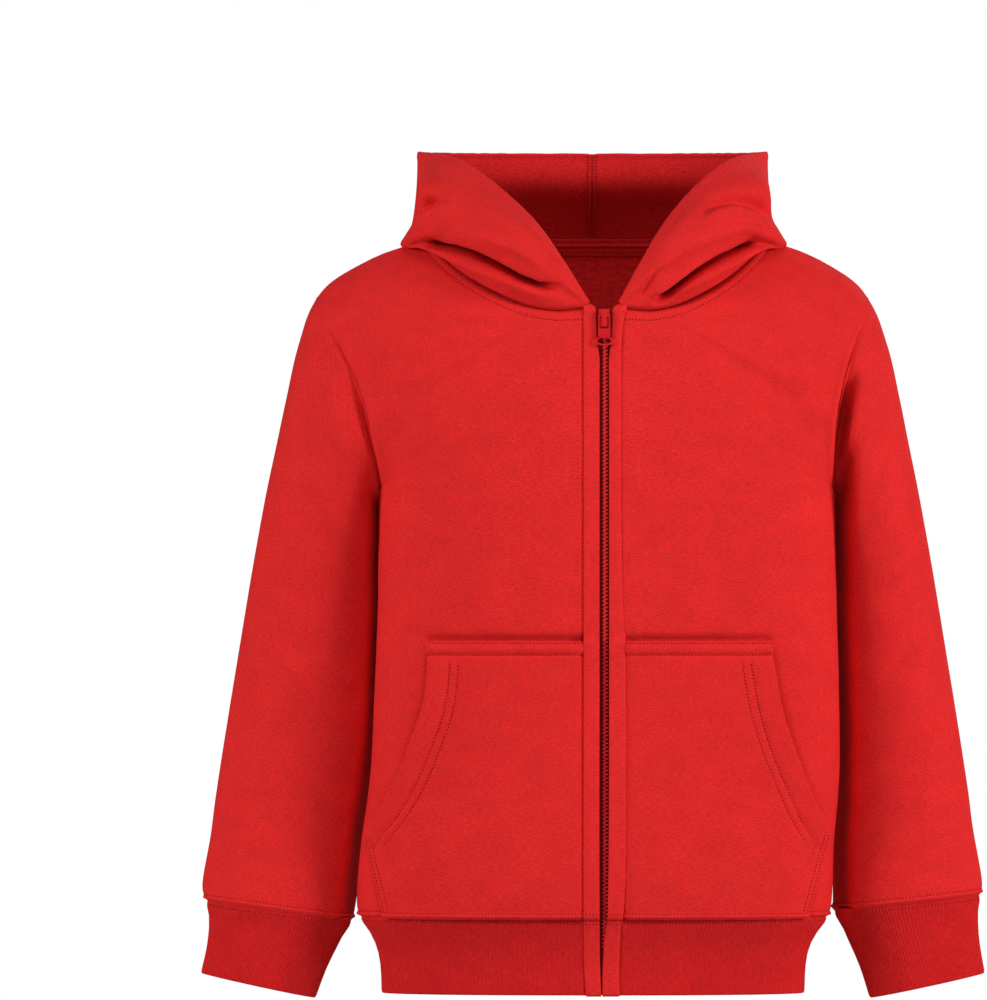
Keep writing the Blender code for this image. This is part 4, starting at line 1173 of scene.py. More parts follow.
def hood_thickness(rows, columns):
    along_rows = ((rows - FOLD_AT[0]) / FOLD_REACH[0]) ** 2
    along_columns = ((columns - FOLD_AT[1]) / FOLD_REACH[1]) ** 2
    return HOOD_CLOTH - (HOOD_CLOTH - HOOD_PINCH) * np.exp(-along_rows[:, None] - along_columns)


def hood_cloth(name):
    side = SIDES[name]
    columns = NECK_STEPS + BACK_NECK_COLUMNS
    shares = np.linspace(0, 1, HOOD_AROUND)
    lines = hood_lines(side, shares)
    run = run_of(lines)
    down = graded(run[-1], *HOOD_DOWN)
    down = np.concatenate((down[:-1], run[-1] - np.array((0.35, 0.12, 0.0))))
    rows = places_at(run, down)
    surface = spline(lines, rows)
    x, y, z = (surface[..., axis] for axis in range(3))
    behind = past(shares, *HOOD_BEHIND)
    z -= HOOD_FOOT_LOWER * np.sin(pi * np.clip(rows, 0, 1))[:, None] * behind
    out = np.abs(x)

    def bulge(at, sets_in):
        """1 at one height and far out on the hood's side, 0 away from there."""
        return hump(z - at[0], at[1]) * past(out, *sets_in) * (1 - behind)

    inside = (rows > len(HOOD_LINES) - 1)[:, None]
    y -= HOOD_CURL * hump(z - HOOD_CURL_Z[0], HOOD_CURL_Z[1]) * inside * past(shares, *HOOD_CURL_FROM)
    z -= HOOD_SIDE_LOWER * bulge(HOOD_SIDE_Z, HOOD_SIDE_OUT)
    x += side * HOOD_LOBE * bulge(HOOD_LOBE_Z, HOOD_LOBE_OUT)
    z -= HOOD_TIP_LOWER * bulge(HOOD_TIP_Z, HOOD_TIP_OUT)
    cloth = Cloth(surface, side, thick=hood_thickness(rows * HOOD_STEPS, shares * columns))
    base = cloth.base
    cloth.seam(base[0], groove=1.4, roll=0.6)
    cloth.seam(base[:, -1], groove=1.0, roll=0.3)
    ahead = until(shares, *HOOD_FOLDS_END)
    for line, settings in HOOD_FOLDS[name]:
        cloth.fold(line, where=ahead, **settings)
    front = until(base[..., 1], *HOOD_FRONT_Y)
    for points, wide, depth in HOOD_CREASES[name]:
        cloth.crease(points, wide, depth, 0.0, front if len(points[0]) == 2 else 1.0)
    cloth.settle()
    cloth.sewn_inside = True
    cloth.topstitch(from_line(base, base[:, -1]), HOOD_STITCH, depth=0.2)
    edge = from_line(base, base[-1])
    cloth.press(0.5 * hump(edge - 3.5, 2.5))
    cloth.free_edge(edge)
    return cloth


def band_cloth(name, hem=False):
    side = SIDES[name]
    if hem:
        heights_of_rows = np.linspace(RIB_ROWS[-1] - BAND_LOW, RIB_ROWS[0], 30)
    else:
        heights_of_rows = np.linspace(BODY_ROWS[0], NECK_FRONT_Z, 190)
    rise = BAND_TIP * np.sqrt(1 - (1 - np.clip(BAND_ACROSS * 1.1, 0, 1)) ** 2) - BAND_DIP
    net = []
    for z in heights_of_rows:
        near, far = read(BAND_EDGES[name], z)
        heights = z + rise * (0 if hem else past(z, NECK_FRONT_Z - BAND_TIP, BAND_TIP))
        net.append([(ZIP_X + side * (near + (far - near) * share),
                     front_middle_y(height) + max(height - NECK_FRONT_Z, 0) * BAND_TIP_LEAN, height)
                    for share, height in zip(BAND_ACROSS, heights)])
    cloth = Cloth(net, side, thick=BAND_CLOTH)
    base = cloth.base
    z = base[..., 2]
    cloth.press(BAND_LIFT + BAND_RAISED + BAND_TIP_LIFT * past(z, NECK_FRONT_Z - 5.0, 6.0))
    if not hem:
        cloth.press(BAND_OVER_POCKET * until(z, POCKET_TOP_Z + 4.0, 6.0))
    inner, outer = from_line(base, base[:, 0]), from_line(base, base[:, -1])
    low, high = from_line(base, base[0]), from_line(base, base[-1])
    cloth.press(0.25 * hump(outer - 3.5, 2.2) - BAND_GROOVE[name] * hump(outer, 1.3))
    if hem:
        cloth.press(-1.5 * hump(high, 1.3) + 0.4 * hump(high - 3.0, 2.0))
        cloth.topstitch(high, HEM_STITCH_BELOW, depth=0.4)
        cloth.free_edge(np.minimum(low, inner))
    else:
        cloth.press(-1.5 * hump(low, 1.3) + HEM_ROLL * hump(low - HEM_ROLL_AT, 2.2))
        cloth.topstitch(low, HEM_STITCH_ABOVE, depth=0.4)
        cloth.free_edge(np.minimum(high, inner))
    return cloth


def tape_edge(z):
    """How far from the zip its tapes begin: wider apart above the teeth."""
    return TAPE_GAP / 2 if z <= TEETH_TOP_Z else WEDGE_WIDE / 2 + TAPE_WEDGE_GAP


def zip_tape_cloth(side):
    rows = list(RIB_ROWS[:0:-1]) + list(np.linspace(BODY_ROWS[0], NECK_FRONT_Z, 60))
    net = strip_net(side, rows, tape_edge, TAPE_WIDE, 6)
    cloth = Cloth(net, side, thick=TAPE_CLOTH)
    cloth.press(np.full(net.shape[:2], BAND_LIFT - BAND_CLOTH - SEAM_GAP))
    return cloth


def hem_end_cloth(name):
    return band_cloth(name, True)


def pocket_cloth(name):
    side = SIDES[name]
    net = front_net(side)
    run = run_of(net)
    z_of = np.array(BODY_ROWS[:UNDERARM_ROW + 1])
    last = BODY_ROWS.index(POCKET_TOP_Z)
    tall = run[last]
    down = graded(tall, *POCKET_DOWN)
    down = np.concatenate((down[:-1], tall - np.array((0.4, 0.14, 0.0))))
    rows = places_at(run, down)
    dense = refined(net, rows, np.linspace(0, FRONT_COLUMNS, 400))
    normals = normals_of(dense, side)
    heights = np.interp(rows, np.arange(len(z_of)), z_of)
    table = np.array(POCKET[name])
    outline = spline(table[:, 1:], np.interp(heights, table[:, 0], np.arange(len(table))))[:, 0]
    offsets = np.concatenate(((0.0, 0.14, 0.4, 0.85), np.arange(1.6, POCKET_STRIP, 0.95)))
    points, directions = [], []
    for row in range(len(rows)):
        outs = np.abs(dense[row][:, 0] - ZIP_X)
        inner = np.linspace(POCKET_SEAM, outline[row] - POCKET_STRIP, 46)
        wanted = np.concatenate((inner, (outline[row] - offsets)[::-1]))
        points.append(sampled(wanted, outs, dense[row]))
        directions.append(sampled(wanted, outs, normals[row]))
    directions = unit(np.array(directions))
    cloth = Cloth(np.array(points) + directions * (POCKET_GAP + BODY_CLOTH), side)
    cloth.normals = directions
    base = cloth.base
    slant = heights >= POCKET_CORNER_Z
    edge, side_edge = from_line(base, base[slant][:, -1]), from_line(base, base[~slant][:, -1])
    top, hem = from_line(base, base[-1]), from_line(base, base[0])
    inner = from_line(base, base[:, 0])
    cloth.press(POCKET_LIP * hump(edge, 9.0) + 0.9 * ease((POCKET_STITCH[0] - edge) / 5.0))
    for level in POCKET_STITCH:
        cloth.topstitch(edge, level, 0.75, lowest=POCKET_STITCH_ENDS[0], highest=POCKET_STITCH_ENDS[1])
    for level in POCKET_SIDE_STITCH:
        cloth.topstitch(side_edge, level, 0.4, lowest=-467.0, highest=POCKET_CORNER_Z)
    cloth.press(1.5 * hump(top - 5.2, 3.2))
    cloth.topstitch(top, POCKET_TOP_STITCH[0], depth=0.6)
    cloth.topstitch(top, POCKET_TOP_STITCH[1], depth=1.5)
    cloth.press(HEM_ROLL * hump(hem - HEM_ROLL_AT, 2.0) - 1.8 * hump(hem, 1.8))
    cloth.press(-2.7 * hump(inner, 3.2) - 0.5 * hump(side_edge, 1.2))
    cloth.topstitch(hem, HEM_STITCH_ABOVE, depth=0.6)
    cloth.free_edge(np.minimum(edge, top))
    return cloth


def neck_tape_cloth(back):
    """A tape inside the back neck, just under the hood's seam."""
    columns = np.flatnonzero(np.abs(back.base[-1][:, 0]) < NECK_TAPE_HALF)
    run = run_of(back.base[:, columns])
    rows = places_at(run, np.linspace(run[-1] - NECK_TAPE_TALL, run[-1], 24))
    net = spline(back.base[:, columns], rows)
    facing = unit(spline(back.normals[:, columns], rows))
    depth = BODY_CLOTH + NECK_TAPE_GAP
    cloth = Cloth(net - facing * depth, 1, thick=TAPE_CLOTH)
    cloth.normals = -facing
    cloth.net = net - facing * (depth + TAPE_CLOTH)
    cloth.net[..., 2] += NECK_TAPE_RAISED * np.linspace(0.5, 1, len(net))[:, None]
    for edge in (net[0], net[-1]):
        cloth.topstitch(from_line(net, edge), TAPE_STITCH, depth=0.3, wide=0.8)
    return cloth


def sew(shape, points, facing):
    """Threads one after another along a line of points, with a dark piece of painted shade for the pit where
    each goes into the cloth.
    """
    run = lengths_to(points)
    marks = np.arange(STITCH_PITCH / 2, run[-1], STITCH_PITCH / 2)
    half = STITCH_PITCH / 4
    ahead = unit(sampled(marks + half, run, points) - sampled(marks - half, run, points))
    up = unit(sampled(marks, run, facing))
    across = np.cross(up, ahead)
    places = sampled(marks, run, points) + up * STITCH_LIFT
    for index in range(len(marks)):
        pit_shade = index % 2
        long, wide, tall = PIT_SHADE_SIZE if pit_shade else STITCH_SIZE
        made = bmesh.ops.create_icosphere(shape, subdivisions=1, radius=0.5)["verts"]
        for vert in made:
            x, y, z = vert.co
            vert.co = Vector((places[index] + ahead[index] * x * long + across[index] * y * wide
                              + up[index] * z * tall) * MM)
        # the piece for the pit between two threads takes the dark finish: painted shade
        if pit_shade:
            for face in {face for vert in made for face in vert.link_faces}:
                face.material_index = 1


# ---------------------------------------------------------------- materials

SHEEN_TINT = (1.0, 0.35, 0.3, 1.0)


class Nodes:
    """The node tree of one material, with short ways to add and join nodes."""

    def __init__(self, name):
        self.material = bpy.data.materials.new(name)
        self.material.use_nodes = True
        self.tree = self.material.node_tree
        self.shader = self.tree.nodes["Principled BSDF"]

    def add(self, kind, **settings):
        node = self.tree.nodes.new(kind)
        for key, value in settings.items():
            setattr(node, key, value)
        return node

    def join(self, source, target):
        self.tree.links.new(source, target)

    def stretched(self, place, scale):
        """Coordinates times a scale."""
        mapping = self.add("ShaderNodeMapping")
        mapping.inputs["Scale"].default_value = scale
        self.join(place, mapping.inputs["Vector"])
        return mapping.outputs["Vector"]

    def pattern(self, across=1.0, down=1.0):
        """The cloth's own map in metres, stretched across and down."""
        return self.stretched(self.add("ShaderNodeUVMap", uv_map="cloth").outputs["UV"], (across, down, 1.0))

    def solid(self):
        """The object's own coordinates."""
        return self.stretched(self.add("ShaderNodeTexCoord").outputs["Object"], (1.0, 1.0, 1.0))

    def noise(self, vector, scale, detail=2.0, roughness=0.5):
        node = self.add("ShaderNodeTexNoise")
        node.inputs["Scale"].default_value = scale
        node.inputs["Detail"].default_value = detail
        node.inputs["Roughness"].default_value = roughness
        self.join(vector, node.inputs["Vector"])
        return node.outputs["Fac"]

    def ramp(self, value, low, high, to_low, to_high):
        node = self.add("ShaderNodeMapRange")
        node.inputs["From Min"].default_value = low
        node.inputs["From Max"].default_value = high
        node.inputs["To Min"].default_value = to_low
        node.inputs["To Max"].default_value = to_high
        self.join(value, node.inputs["Value"])
        return node.outputs["Result"]

    def times(self, one, other):
        node = self.add("ShaderNodeMath", operation="MULTIPLY")
        self.join(one, node.inputs[0])
        self.join(other, node.inputs[1])
        return node.outputs["Value"]

    def shade(self, colour, *patterns):
        """The colour times every pattern, each with its range and the range that is taken to."""
        value = self.ramp(*patterns[0])
        for pattern in patterns[1:]:
            value = self.times(value, self.ramp(*pattern))
        node = self.add("ShaderNodeVectorMath", operation="SCALE")
        node.inputs[0].default_value = colour
        self.join(value, node.inputs["Scale"])
        self.join(node.outputs["Vector"], self.shader.inputs["Base Color"])

    def bump(self, height, strength, distance, after=None):
        node = self.add("ShaderNodeBump")
        node.inputs["Strength"].default_value = strength
        node.inputs["Distance"].default_value = distance
        self.join(height, node.inputs["Height"])
        if after:
            self.join(after, node.inputs["Normal"])
        return node.outputs["Normal"]

    def finish(self, normal, roughness, sheen=0.0, specular=0.07):
        if normal:
            self.join(normal, self.shader.inputs["Normal"])
        self.shader.inputs["Roughness"].default_value = roughness
        self.shader.inputs["Specular IOR Level"].default_value = specular
        self.shader.inputs["Sheen Weight"].default_value = sheen
        self.shader.inputs["Sheen Roughness"].default_value = 0.5
        self.shader.inputs["Sheen Tint"].default_value = SHEEN_TINT
        return self.material


def jersey(name, colour):
    """The smooth outer face of sweatshirt cloth: short level streaks, fine loops and faint mottling."""
    nodes = Nodes(name)
    streak = nodes.noise(nodes.pattern(1.0, 4.4), 300.0, 2.0, 0.55)
    loops = nodes.noise(nodes.pattern(1.2, 1.0), 1000.0, 1.0, 0.5)
    mottle = nodes.noise(nodes.pattern(1.0, 1.4), 46.0, 3.0, 0.6)
    cloud = nodes.noise(nodes.pattern(), 11.0, 2.0, 0.5)
    nodes.shade(colour, (streak, 0.34, 0.66, 0.86, 1.12), (loops, 0.32, 0.68, 0.9, 1.09),
                (mottle, 0.3, 0.7, 0.94, 1.06), (cloud, 0.3, 0.7, 0.965, 1.03))
    normal = nodes.bump(streak, 0.4, 0.0004)
    normal = nodes.bump(loops, 0.3, 0.0002, normal)
    return nodes.finish(normal, 0.92, 0.02)


def pile(name, colour):
    """The brushed inner face: soft short fibres in small clumps."""
    nodes = Nodes(name)
    clump = nodes.noise(nodes.pattern(), 210.0, 4.0, 0.65)
    fibre = nodes.noise(nodes.pattern(), 900.0, 3.0, 0.7)
    nodes.shade(colour, (clump, 0.3, 0.7, 0.76, 1.18), (fibre, 0.3, 0.7, 0.88, 1.1))
    normal = nodes.bump(clump, 0.8, 0.0012)
    normal = nodes.bump(fibre, 0.6, 0.0005, normal)
    return nodes.finish(normal, 0.97, 0.05)


def ribbing(name, colour):
    """Knitted rib: fine upright streaks and faint level courses."""
    nodes = Nodes(name)
    streak = nodes.noise(nodes.pattern(3.4, 1.0), 240.0, 2.0, 0.6)
    course = nodes.noise(nodes.pattern(1.0, 4.0), 300.0, 2.0, 0.6)
    mottle = nodes.noise(nodes.pattern(1.0, 1.4), 46.0, 3.0, 0.6)
    nodes.shade(colour, (streak, 0.34, 0.66, 0.9, 1.1), (course, 0.34, 0.66, 0.88, 1.12),
                (mottle, 0.3, 0.7, 0.94, 1.06))
    normal = nodes.bump(streak, 0.5, 0.0005)
    normal = nodes.bump(course, 0.4, 0.0003, normal)
    return nodes.finish(normal, 0.92, 0.03)


def tape(name, colour):
    """Narrow woven tape: small over-and-under cells."""
    nodes = Nodes(name)
    across = nodes.add("ShaderNodeTexWave", wave_type="BANDS", bands_direction="X")
    down = nodes.add("ShaderNodeTexWave", wave_type="BANDS", bands_direction="Y")
    for wave, scale in ((across, 900.0), (down, 1170.0)):
        wave.inputs["Scale"].default_value = scale
        wave.inputs["Distortion"].default_value = 0.6
        wave.inputs["Detail"].default_value = 1.0
        nodes.join(nodes.pattern(), wave.inputs["Vector"])
    weave = nodes.times(across.outputs["Fac"], down.outputs["Fac"])
    fleck = nodes.noise(nodes.pattern(1.0, 2.5), 500.0, 2.0, 0.6)
    nodes.shade(colour, (weave, 0.0, 1.0, 0.85, 1.08), (fleck, 0.3, 0.7, 0.93, 1.06))
    return nodes.finish(nodes.bump(weave, 0.5, 0.0002), 0.85, 0.06)


def matt(name, colour):
    """Thread, and the painted shade of the needle pits: fine fibre without any shine."""
    nodes = Nodes(name)
    fibre = nodes.noise(nodes.solid(), 1400.0, 1.0, 0.5)
    nodes.shade(colour, (fibre, 0.3, 0.7, 0.9, 1.1))
    return nodes.finish(None, 0.95, specular=0.02)


def plastic(name, colour):
    nodes = Nodes(name)
    grain = nodes.noise(nodes.solid(), 900.0, 2.0, 0.5)
    nodes.shade(colour, (grain, 0.3, 0.7, 0.95, 1.05))
    return nodes.finish(nodes.bump(grain, 0.15, 0.0001), 0.42, specular=0.2)


def enamel(name, colour):
    nodes = Nodes(name)
    ripple = nodes.noise(nodes.solid(), 420.0, 2.0, 0.5)
    nodes.shade(colour, (ripple, 0.3, 0.7, 0.97, 1.03))
    return nodes.finish(nodes.bump(ripple, 0.08, 0.0002), 0.38)


# what makes each finish, the material's name, and its colour among the hoodie's
FINISHES = {
    "jersey": (jersey, "sweatshirt_face", "cloth"),
    "pile": (pile, "sweatshirt_brushed_back", "pile"),
    "rib": (ribbing, "knitted_rib", "rib"),
    "binding": (jersey, "band_knit", "band"),
    "lining": (jersey, "hood_inside", "lining"),
    "tape": (tape, "woven_tape", "tape"),
    "plastic": (plastic, "moulded_teeth", "zip"),
    "zip_slider": (enamel, "slider_enamel", "slider"),
    "pull_tab": (enamel, "tab_enamel", "tab"),
    "thread": (matt, "sewing_thread", "thread"),
    # needle pits: a dark finish that paints the shade in them
    "pit_shade": (matt, "needle_hole", "pit_shade"),
}
MADE = {}


def finish_of(kind):
    """Each finish is made once."""
    if kind not in MADE:
        make, name, colour_name = FINISHES[kind]
        MADE[kind] = make(name, getattr(bpy.context.scene.hoodie_colours, colour_name))
    return MADE[kind]


# ---------------------------------------------------------------- pieces of the garment

# the finish of each cloth's outer and inner face, and its slot
KINDS = {
    "sweatshirt": ("jersey", "pile", "fleece"),
    "hood": ("jersey", "lining", "fleece"),
    "rib": ("rib", None, "rib"),
    "binding": ("binding", None, "binding"),
    "tape": ("tape", None, "zip_tape"),
}
CLOTHS = {}


def dress(name, node, kind, cloth=None):
    """Makes one cut piece in place of its node."""
    cloth = cloth or cloth_of(node)
    outside, inside, slot = KINDS[kind]
    piece = shell(name, cloth, finish_of(outside), finish_of(inside) if inside else None)
    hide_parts(node)
    declare(cloth)


def stitches(name, cloths):
    """Makes one piece of all the threads of some cloths, with dark pieces of painted shade at their needle
    pits; a hood's show inside too.
    """
    shape = bmesh.new()
    for cloth in cloths:
        for points, facing in cloth.stitch_lines():
            sew(shape, points, facing)
            if cloth.sewn_inside:
                sew(shape, points - facing * (HOOD_CLOTH + 0.1), -facing)
    finished("stitches_" + name, shape, finish_of("thread"), finish_of("pit_shade"))


def cloth_of(name):
    """Each cut piece's finished surface is worked out once."""
    makers = {"front": front_cloth, "sleeve": sleeve_cloth, "cuff": cuff_cloth, "hood": hood_cloth,
              "pocket": pocket_cloth, "band": band_cloth, "hem_end": hem_end_cloth,
              "back": back_cloth, "hem_rib": hem_rib_cloth}
    if name not in CLOTHS:
        kind, _, side = name.rpartition("_")
        CLOTHS[name] = makers[kind](side) if side in SIDES else makers[name]()
    return CLOTHS[name]


def rounded(shape, corners, rounding, segments):
    """Rounds every edge of a block just made."""
    edges = list({edge for vert in corners for edge in vert.link_edges})
    bmesh.ops.bevel(shape, geom=edges, offset=rounding * MM, segments=segments, affect="EDGES",
                    profile=0.5, material=-1)


def tooth(shape, side, z, y):
    """One moulded tooth: a block on the tape with a narrower neck and a round head."""
    made = bmesh.ops.create_cube(shape, size=1.0)["verts"]
    for vert in made:
        head = vert.co.x > 0
        tall = TOOTH_TALL * (1.0 if head else TOOTH_NECK)
        out = vert.co.x * TOOTH_LONG - TOOTH_LONG / 2 + TOOTH_OVER
        vert.co = Vector(((ZIP_X + TEETH_SHIFT - side * out) * MM,
                          (y + vert.co.y * TOOTH_THICK) * MM, (z + vert.co.z * tall) * MM))
    rounded(shape, made, TOOTH_ROUNDING, 1)


def block(shape, low, high, rounding, segments=2, lower=1.0):
    """A block with rounded edges; lower is its width at the lower end, as a share."""
    made = bmesh.ops.create_cube(shape, size=1.0)["verts"]
    for vert in made:
        x, y, z = [a + (b - a) * (co + 0.5) for a, b, co in zip(low, high, vert.co)]
        middle = (low[0] + high[0]) / 2
        vert.co = Vector((middle + (x - middle) * (lower if vert.co.z < 0 else 1.0), y, z)) * MM
    rounded(shape, made, rounding, segments)


def oval_ring(shape, wide, tall, deep, middle_z):
    """A ring round the y axis: half its width and height to the middle of its wire, and the wire's radii."""
    made = bmesh.ops.create_grid(shape, x_segments=36, y_segments=10, size=0.5)["verts"]
    for vert in made:
        along_ring, round_wire = 2 * pi * (vert.co.x + 0.5), 2 * pi * (vert.co.y + 0.5)
        out = cos(round_wire)
        vert.co = Vector(((wide[0] + wide[1] * out) * cos(along_ring), deep * sin(round_wire),
                          middle_z + (tall[0] + tall[1] * out) * sin(along_ring))) * MM
    bmesh.ops.remove_doubles(shape, verts=made, dist=1e-6)


def seated(shape, up=0.0, out=0.0):
    """Moves a shape from its own frame on the slider to its place on the leaning zip."""
    below, above = front_middle_y(SLIDER_Z - SLIDER_REACH), front_middle_y(SLIDER_Z + SLIDER_REACH)
    lean = np.arctan2(below - above, 2 * SLIDER_REACH)
    place = Vector((ZIP_X, front_middle_y(SLIDER_Z), SLIDER_Z)) * MM
    turn = Matrix.Translation(place) @ Matrix.Rotation(lean, 4, "X")
    shape.transform(turn @ Matrix.Translation(Vector((0.0, out, up)) * MM))
    bmesh.ops.recalc_face_normals(shape, faces=shape.faces)


def slider_shape():
    """Two plates, the wedge and walls between them, and the bridge that holds the tab."""
    shape = bmesh.new()
    half, reach = SLIDER_HALF, SLIDER_REACH
    block(shape, (-half, PLATE_FRONT, -reach), (half, -PLATE_LIFT, reach), 0.45, 3, 0.78)
    block(shape, (-half, SLIDER_BACK, -reach), (half, SLIDER_BACK + PLATE_THICK, reach), 0.45, 3, 0.78)
    block(shape, (-1.3, -PLATE_LIFT - 0.25, reach - 4.5), (1.3, SLIDER_BACK + 0.25, reach - 0.4), 0.3)
    for sign in (-1, 1):
        low, high = sorted((sign * (half - 0.9), sign * half))
        block(shape, (low, -PLATE_LIFT - 0.3, -reach + 1.2), (high, -0.2, reach - 3.0), 0.25, 2)
    bar = PLATE_FRONT - 2 * HINGE_OUT
    half = BRIDGE_HALF
    block(shape, (-half, bar - BRIDGE_BAR, BRIDGE_LOW), (half, bar, BRIDGE_TOP), 0.5, 3, 0.9)
    for low, high in ((BRIDGE_TOP - BRIDGE_BAR - 0.2, BRIDGE_TOP - 0.1),
                      (BRIDGE_LOW + 0.1, BRIDGE_LOW + BRIDGE_BAR)):
        block(shape, (-half + 0.2, bar - 0.4, low), (half - 0.2, PLATE_FRONT + 0.3, high), 0.3, 2)
    seated(shape)
    return shape


def tab_shape():
    """The pull tab hangs from its bar: two arms, a foot and an oval ring."""
    shape = bmesh.new()
    bar = bmesh.ops.create_cone(shape, cap_ends=True, segments=20, radius1=TAB_BAR_RADIUS * MM,
                                radius2=TAB_BAR_RADIUS * MM, depth=(2 * TAB_HALF - 0.6) * MM)["verts"]
    for vert in bar:
        vert.co = Vector((vert.co.z, vert.co.x, vert.co.y))
    for sign in (-1, 1):
        low, high = sorted((sign * TAB_WINDOW_HALF, sign * TAB_HALF))
        block(shape, (low, -0.7, -TAB_TALL), (high, 0.7, 0.7), 0.42, 3, 0.92)
    block(shape, (-TAB_HALF + 0.1, -0.66, -TAB_TALL), (TAB_HALF - 0.1, 0.66, TAB_FOOT_TOP), 0.4, 3, 0.82)
    oval_ring(shape, RING_WIDE, RING_TALL, RING_DEEP, RING_AT)
    seated(shape, HINGE_UP, PLATE_FRONT - HINGE_OUT)
    return shape


class HoodieSizes(bpy.types.PropertyGroup):
    """Sizes of the garment's finish."""

    rib_depth: bpy.props.FloatProperty(
        name="Rib depth", description="How high the knitted ribs stand, in millimetres",
        default=RIB_DEPTH, min=0.0, max=1.0)
    tooth_pitch: bpy.props.FloatProperty(
        name="Tooth pitch", description="Distance between two teeth on one side of the zip, in millimetres",
        default=TOOTH_PITCH, min=2.0, max=6.0)
    floor_height: bpy.props.FloatProperty(
        name="Floor height", description="Height of the floor below the shoulders", default=FLOOR_Z,
        subtype="DISTANCE", unit="LENGTH")


def colour(name, description, value):
    return bpy.props.FloatVectorProperty(name=name, description=description, subtype="COLOR",
                                         default=value, min=0.0, max=1.0)


class HoodieColours(bpy.types.PropertyGroup):
    """Colours of the garment's finishes, linear."""

    cloth: colour("Cloth", "Outer face of the sweatshirt cloth", (0.74, 0.022, 0.022))
    # lighter than the outer face: the brushed back's own red, raised as painted light for the inside that
    # the lamps reach little
    pile: colour("Brushed back", "Brushed inner face of the cloth", (0.94, 0.026, 0.027))
    lining: colour("Hood inside", "Inner face of the hood", (0.72, 0.02, 0.021))
    rib: colour("Rib", "Waistband and cuffs", (0.6, 0.014, 0.015))
    band: colour("Bands", "Bands beside the zip", (0.76, 0.023, 0.023))
    tape: colour("Tapes", "The zip's tapes", (0.3, 0.006, 0.007))
    thread: colour("Thread", "Sewing thread", (0.8, 0.04, 0.04))
    # needle pits: a dark colour painted as their shade
    pit_shade: colour("Needle holes", "Shaded pits where the thread goes into the cloth", (0.2, 0.004, 0.005))
    zip: colour("Teeth", "The zip's teeth", (0.6, 0.014, 0.016))
    slider: colour("Slider", "The zip's slider", (0.62, 0.014, 0.016))
    tab: colour("Pull tab", "The slider's pull tab", (0.6, 0.012, 0.014))


class HOODIE_OT_body(bpy.types.Operator):
    """Makes the two fronts and the back"""

    bl_idname = "hoodie.body"
    bl_label = "Fronts and back"

    def execute(self, context):
        for name in ("front_right", "front_left", "back"):
            dress(name + "_cloth", name, "sweatshirt")
        return {"FINISHED"}


class HOODIE_OT_sleeves(bpy.types.Operator):
    """Makes the sleeves and their rib cuffs"""

    bl_idname = "hoodie.sleeves"
    bl_label = "Sleeves and cuffs"

    def execute(self, context):
        for side in SIDES:
            dress(f"sleeve_{side}_cloth", "sleeve_" + side, "sweatshirt")
            dress(f"cuff_{side}_rib", "cuff_" + side, "rib")
        return {"FINISHED"}


class HOODIE_OT_waistband(bpy.types.Operator):
    """Makes the ribbed waistband and its two ends beside the zip"""

    bl_idname = "hoodie.waistband"
    bl_label = "Waistband"

    def execute(self, context):
        dress("waistband_rib", "hem_rib", "rib")
        for side in SIDES:
            dress(f"waistband_end_{side}", "hem_end_" + side, "binding")
        return {"FINISHED"}


class HOODIE_OT_hood(bpy.types.Operator):
    """Makes the two halves of the hood"""

    bl_idname = "hoodie.hood"
    bl_label = "Hood"

    def execute(self, context):
        for side in SIDES:
            dress(f"hood_{side}_cloth", "hood_" + side, "hood")
        return {"FINISHED"}


class HOODIE_OT_pockets(bpy.types.Operator):
    """Makes the two halves of the patch pocket"""

    bl_idname = "hoodie.pockets"
    bl_label = "Pockets"

    def execute(self, context):
        for side in SIDES:
            dress(f"pocket_{side}_cloth", "pocket_" + side, "sweatshirt")
        return {"FINISHED"}


class HOODIE_OT_bands(bpy.types.Operator):
    """Makes the bands beside the zip, the zip's tapes and the tape at the neck"""

    bl_idname = "hoodie.bands"
    bl_label = "Bands and tapes"

    def execute(self, context):
        for side, sign in SIDES.items():
            dress(f"band_{side}_cloth", "band_" + side, "binding")
            dress(f"zip_tape_{side}_weave", "zip_tape_" + side, "tape",
                  zip_tape_cloth(sign))
        cloth = neck_tape_cloth(cloth_of("back"))
        dress("neck_tape_weave", "neck_tape", "binding", cloth)
        stitches("neck_tape", [cloth])
        return {"FINISHED"}


class HOODIE_OT_zip(bpy.types.Operator):
    """Makes the zip's teeth, and finishes its slider and pull tab"""

    bl_idname = "hoodie.zip"
    bl_label = "Zip"

    def execute(self, context):
        pitch = context.scene.hoodie_sizes.tooth_pitch
        behind = BAND_LIFT - BAND_CLOTH + TEETH_THICK / 2
        shape = bmesh.new()
        for side, start in ((-1, 0.0), (1, pitch / 2)):
            for z in np.arange(TEETH_LOW_Z + start, TEETH_TOP_Z - 2, pitch):
                tooth(shape, side, z, front_middle_y(z) - behind)
        bmesh.ops.recalc_face_normals(shape, faces=shape.faces)
        teeth = finished("zip_teeth_moulded", shape, finish_of("plastic"))
        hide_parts("zip_teeth")
        for name, node, body, made in (("zip_slider_cast", "zip_slider", BODY, slider_shape()),
                                       ("pull_tab_cast", "pull_tab", "pull_tab", tab_shape())):
            piece = finished(name, made, finish_of(node), body=body)
            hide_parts(node)
        return {"FINISHED"}


class HOODIE_OT_stitching(bpy.types.Operator):
    """Sews the rows of stitches on every cut piece"""

    bl_idname = "hoodie.stitching"
    bl_label = "Stitching"

    def execute(self, context):
        groups = {
            "body": ["front_right", "front_left", "back"],
            "ribs": ["hem_rib", "hem_end_right", "hem_end_left", "band_right", "band_left"],
        }
        for side in SIDES:
            groups["sleeve_" + side] = ["sleeve_" + side, "cuff_" + side]
            groups["hood_" + side] = ["hood_" + side]
            groups["pocket_" + side] = ["pocket_" + side]
        for group, names in groups.items():
            stitches(group, [cloth_of(name) for name in names])
        return {"FINISHED"}


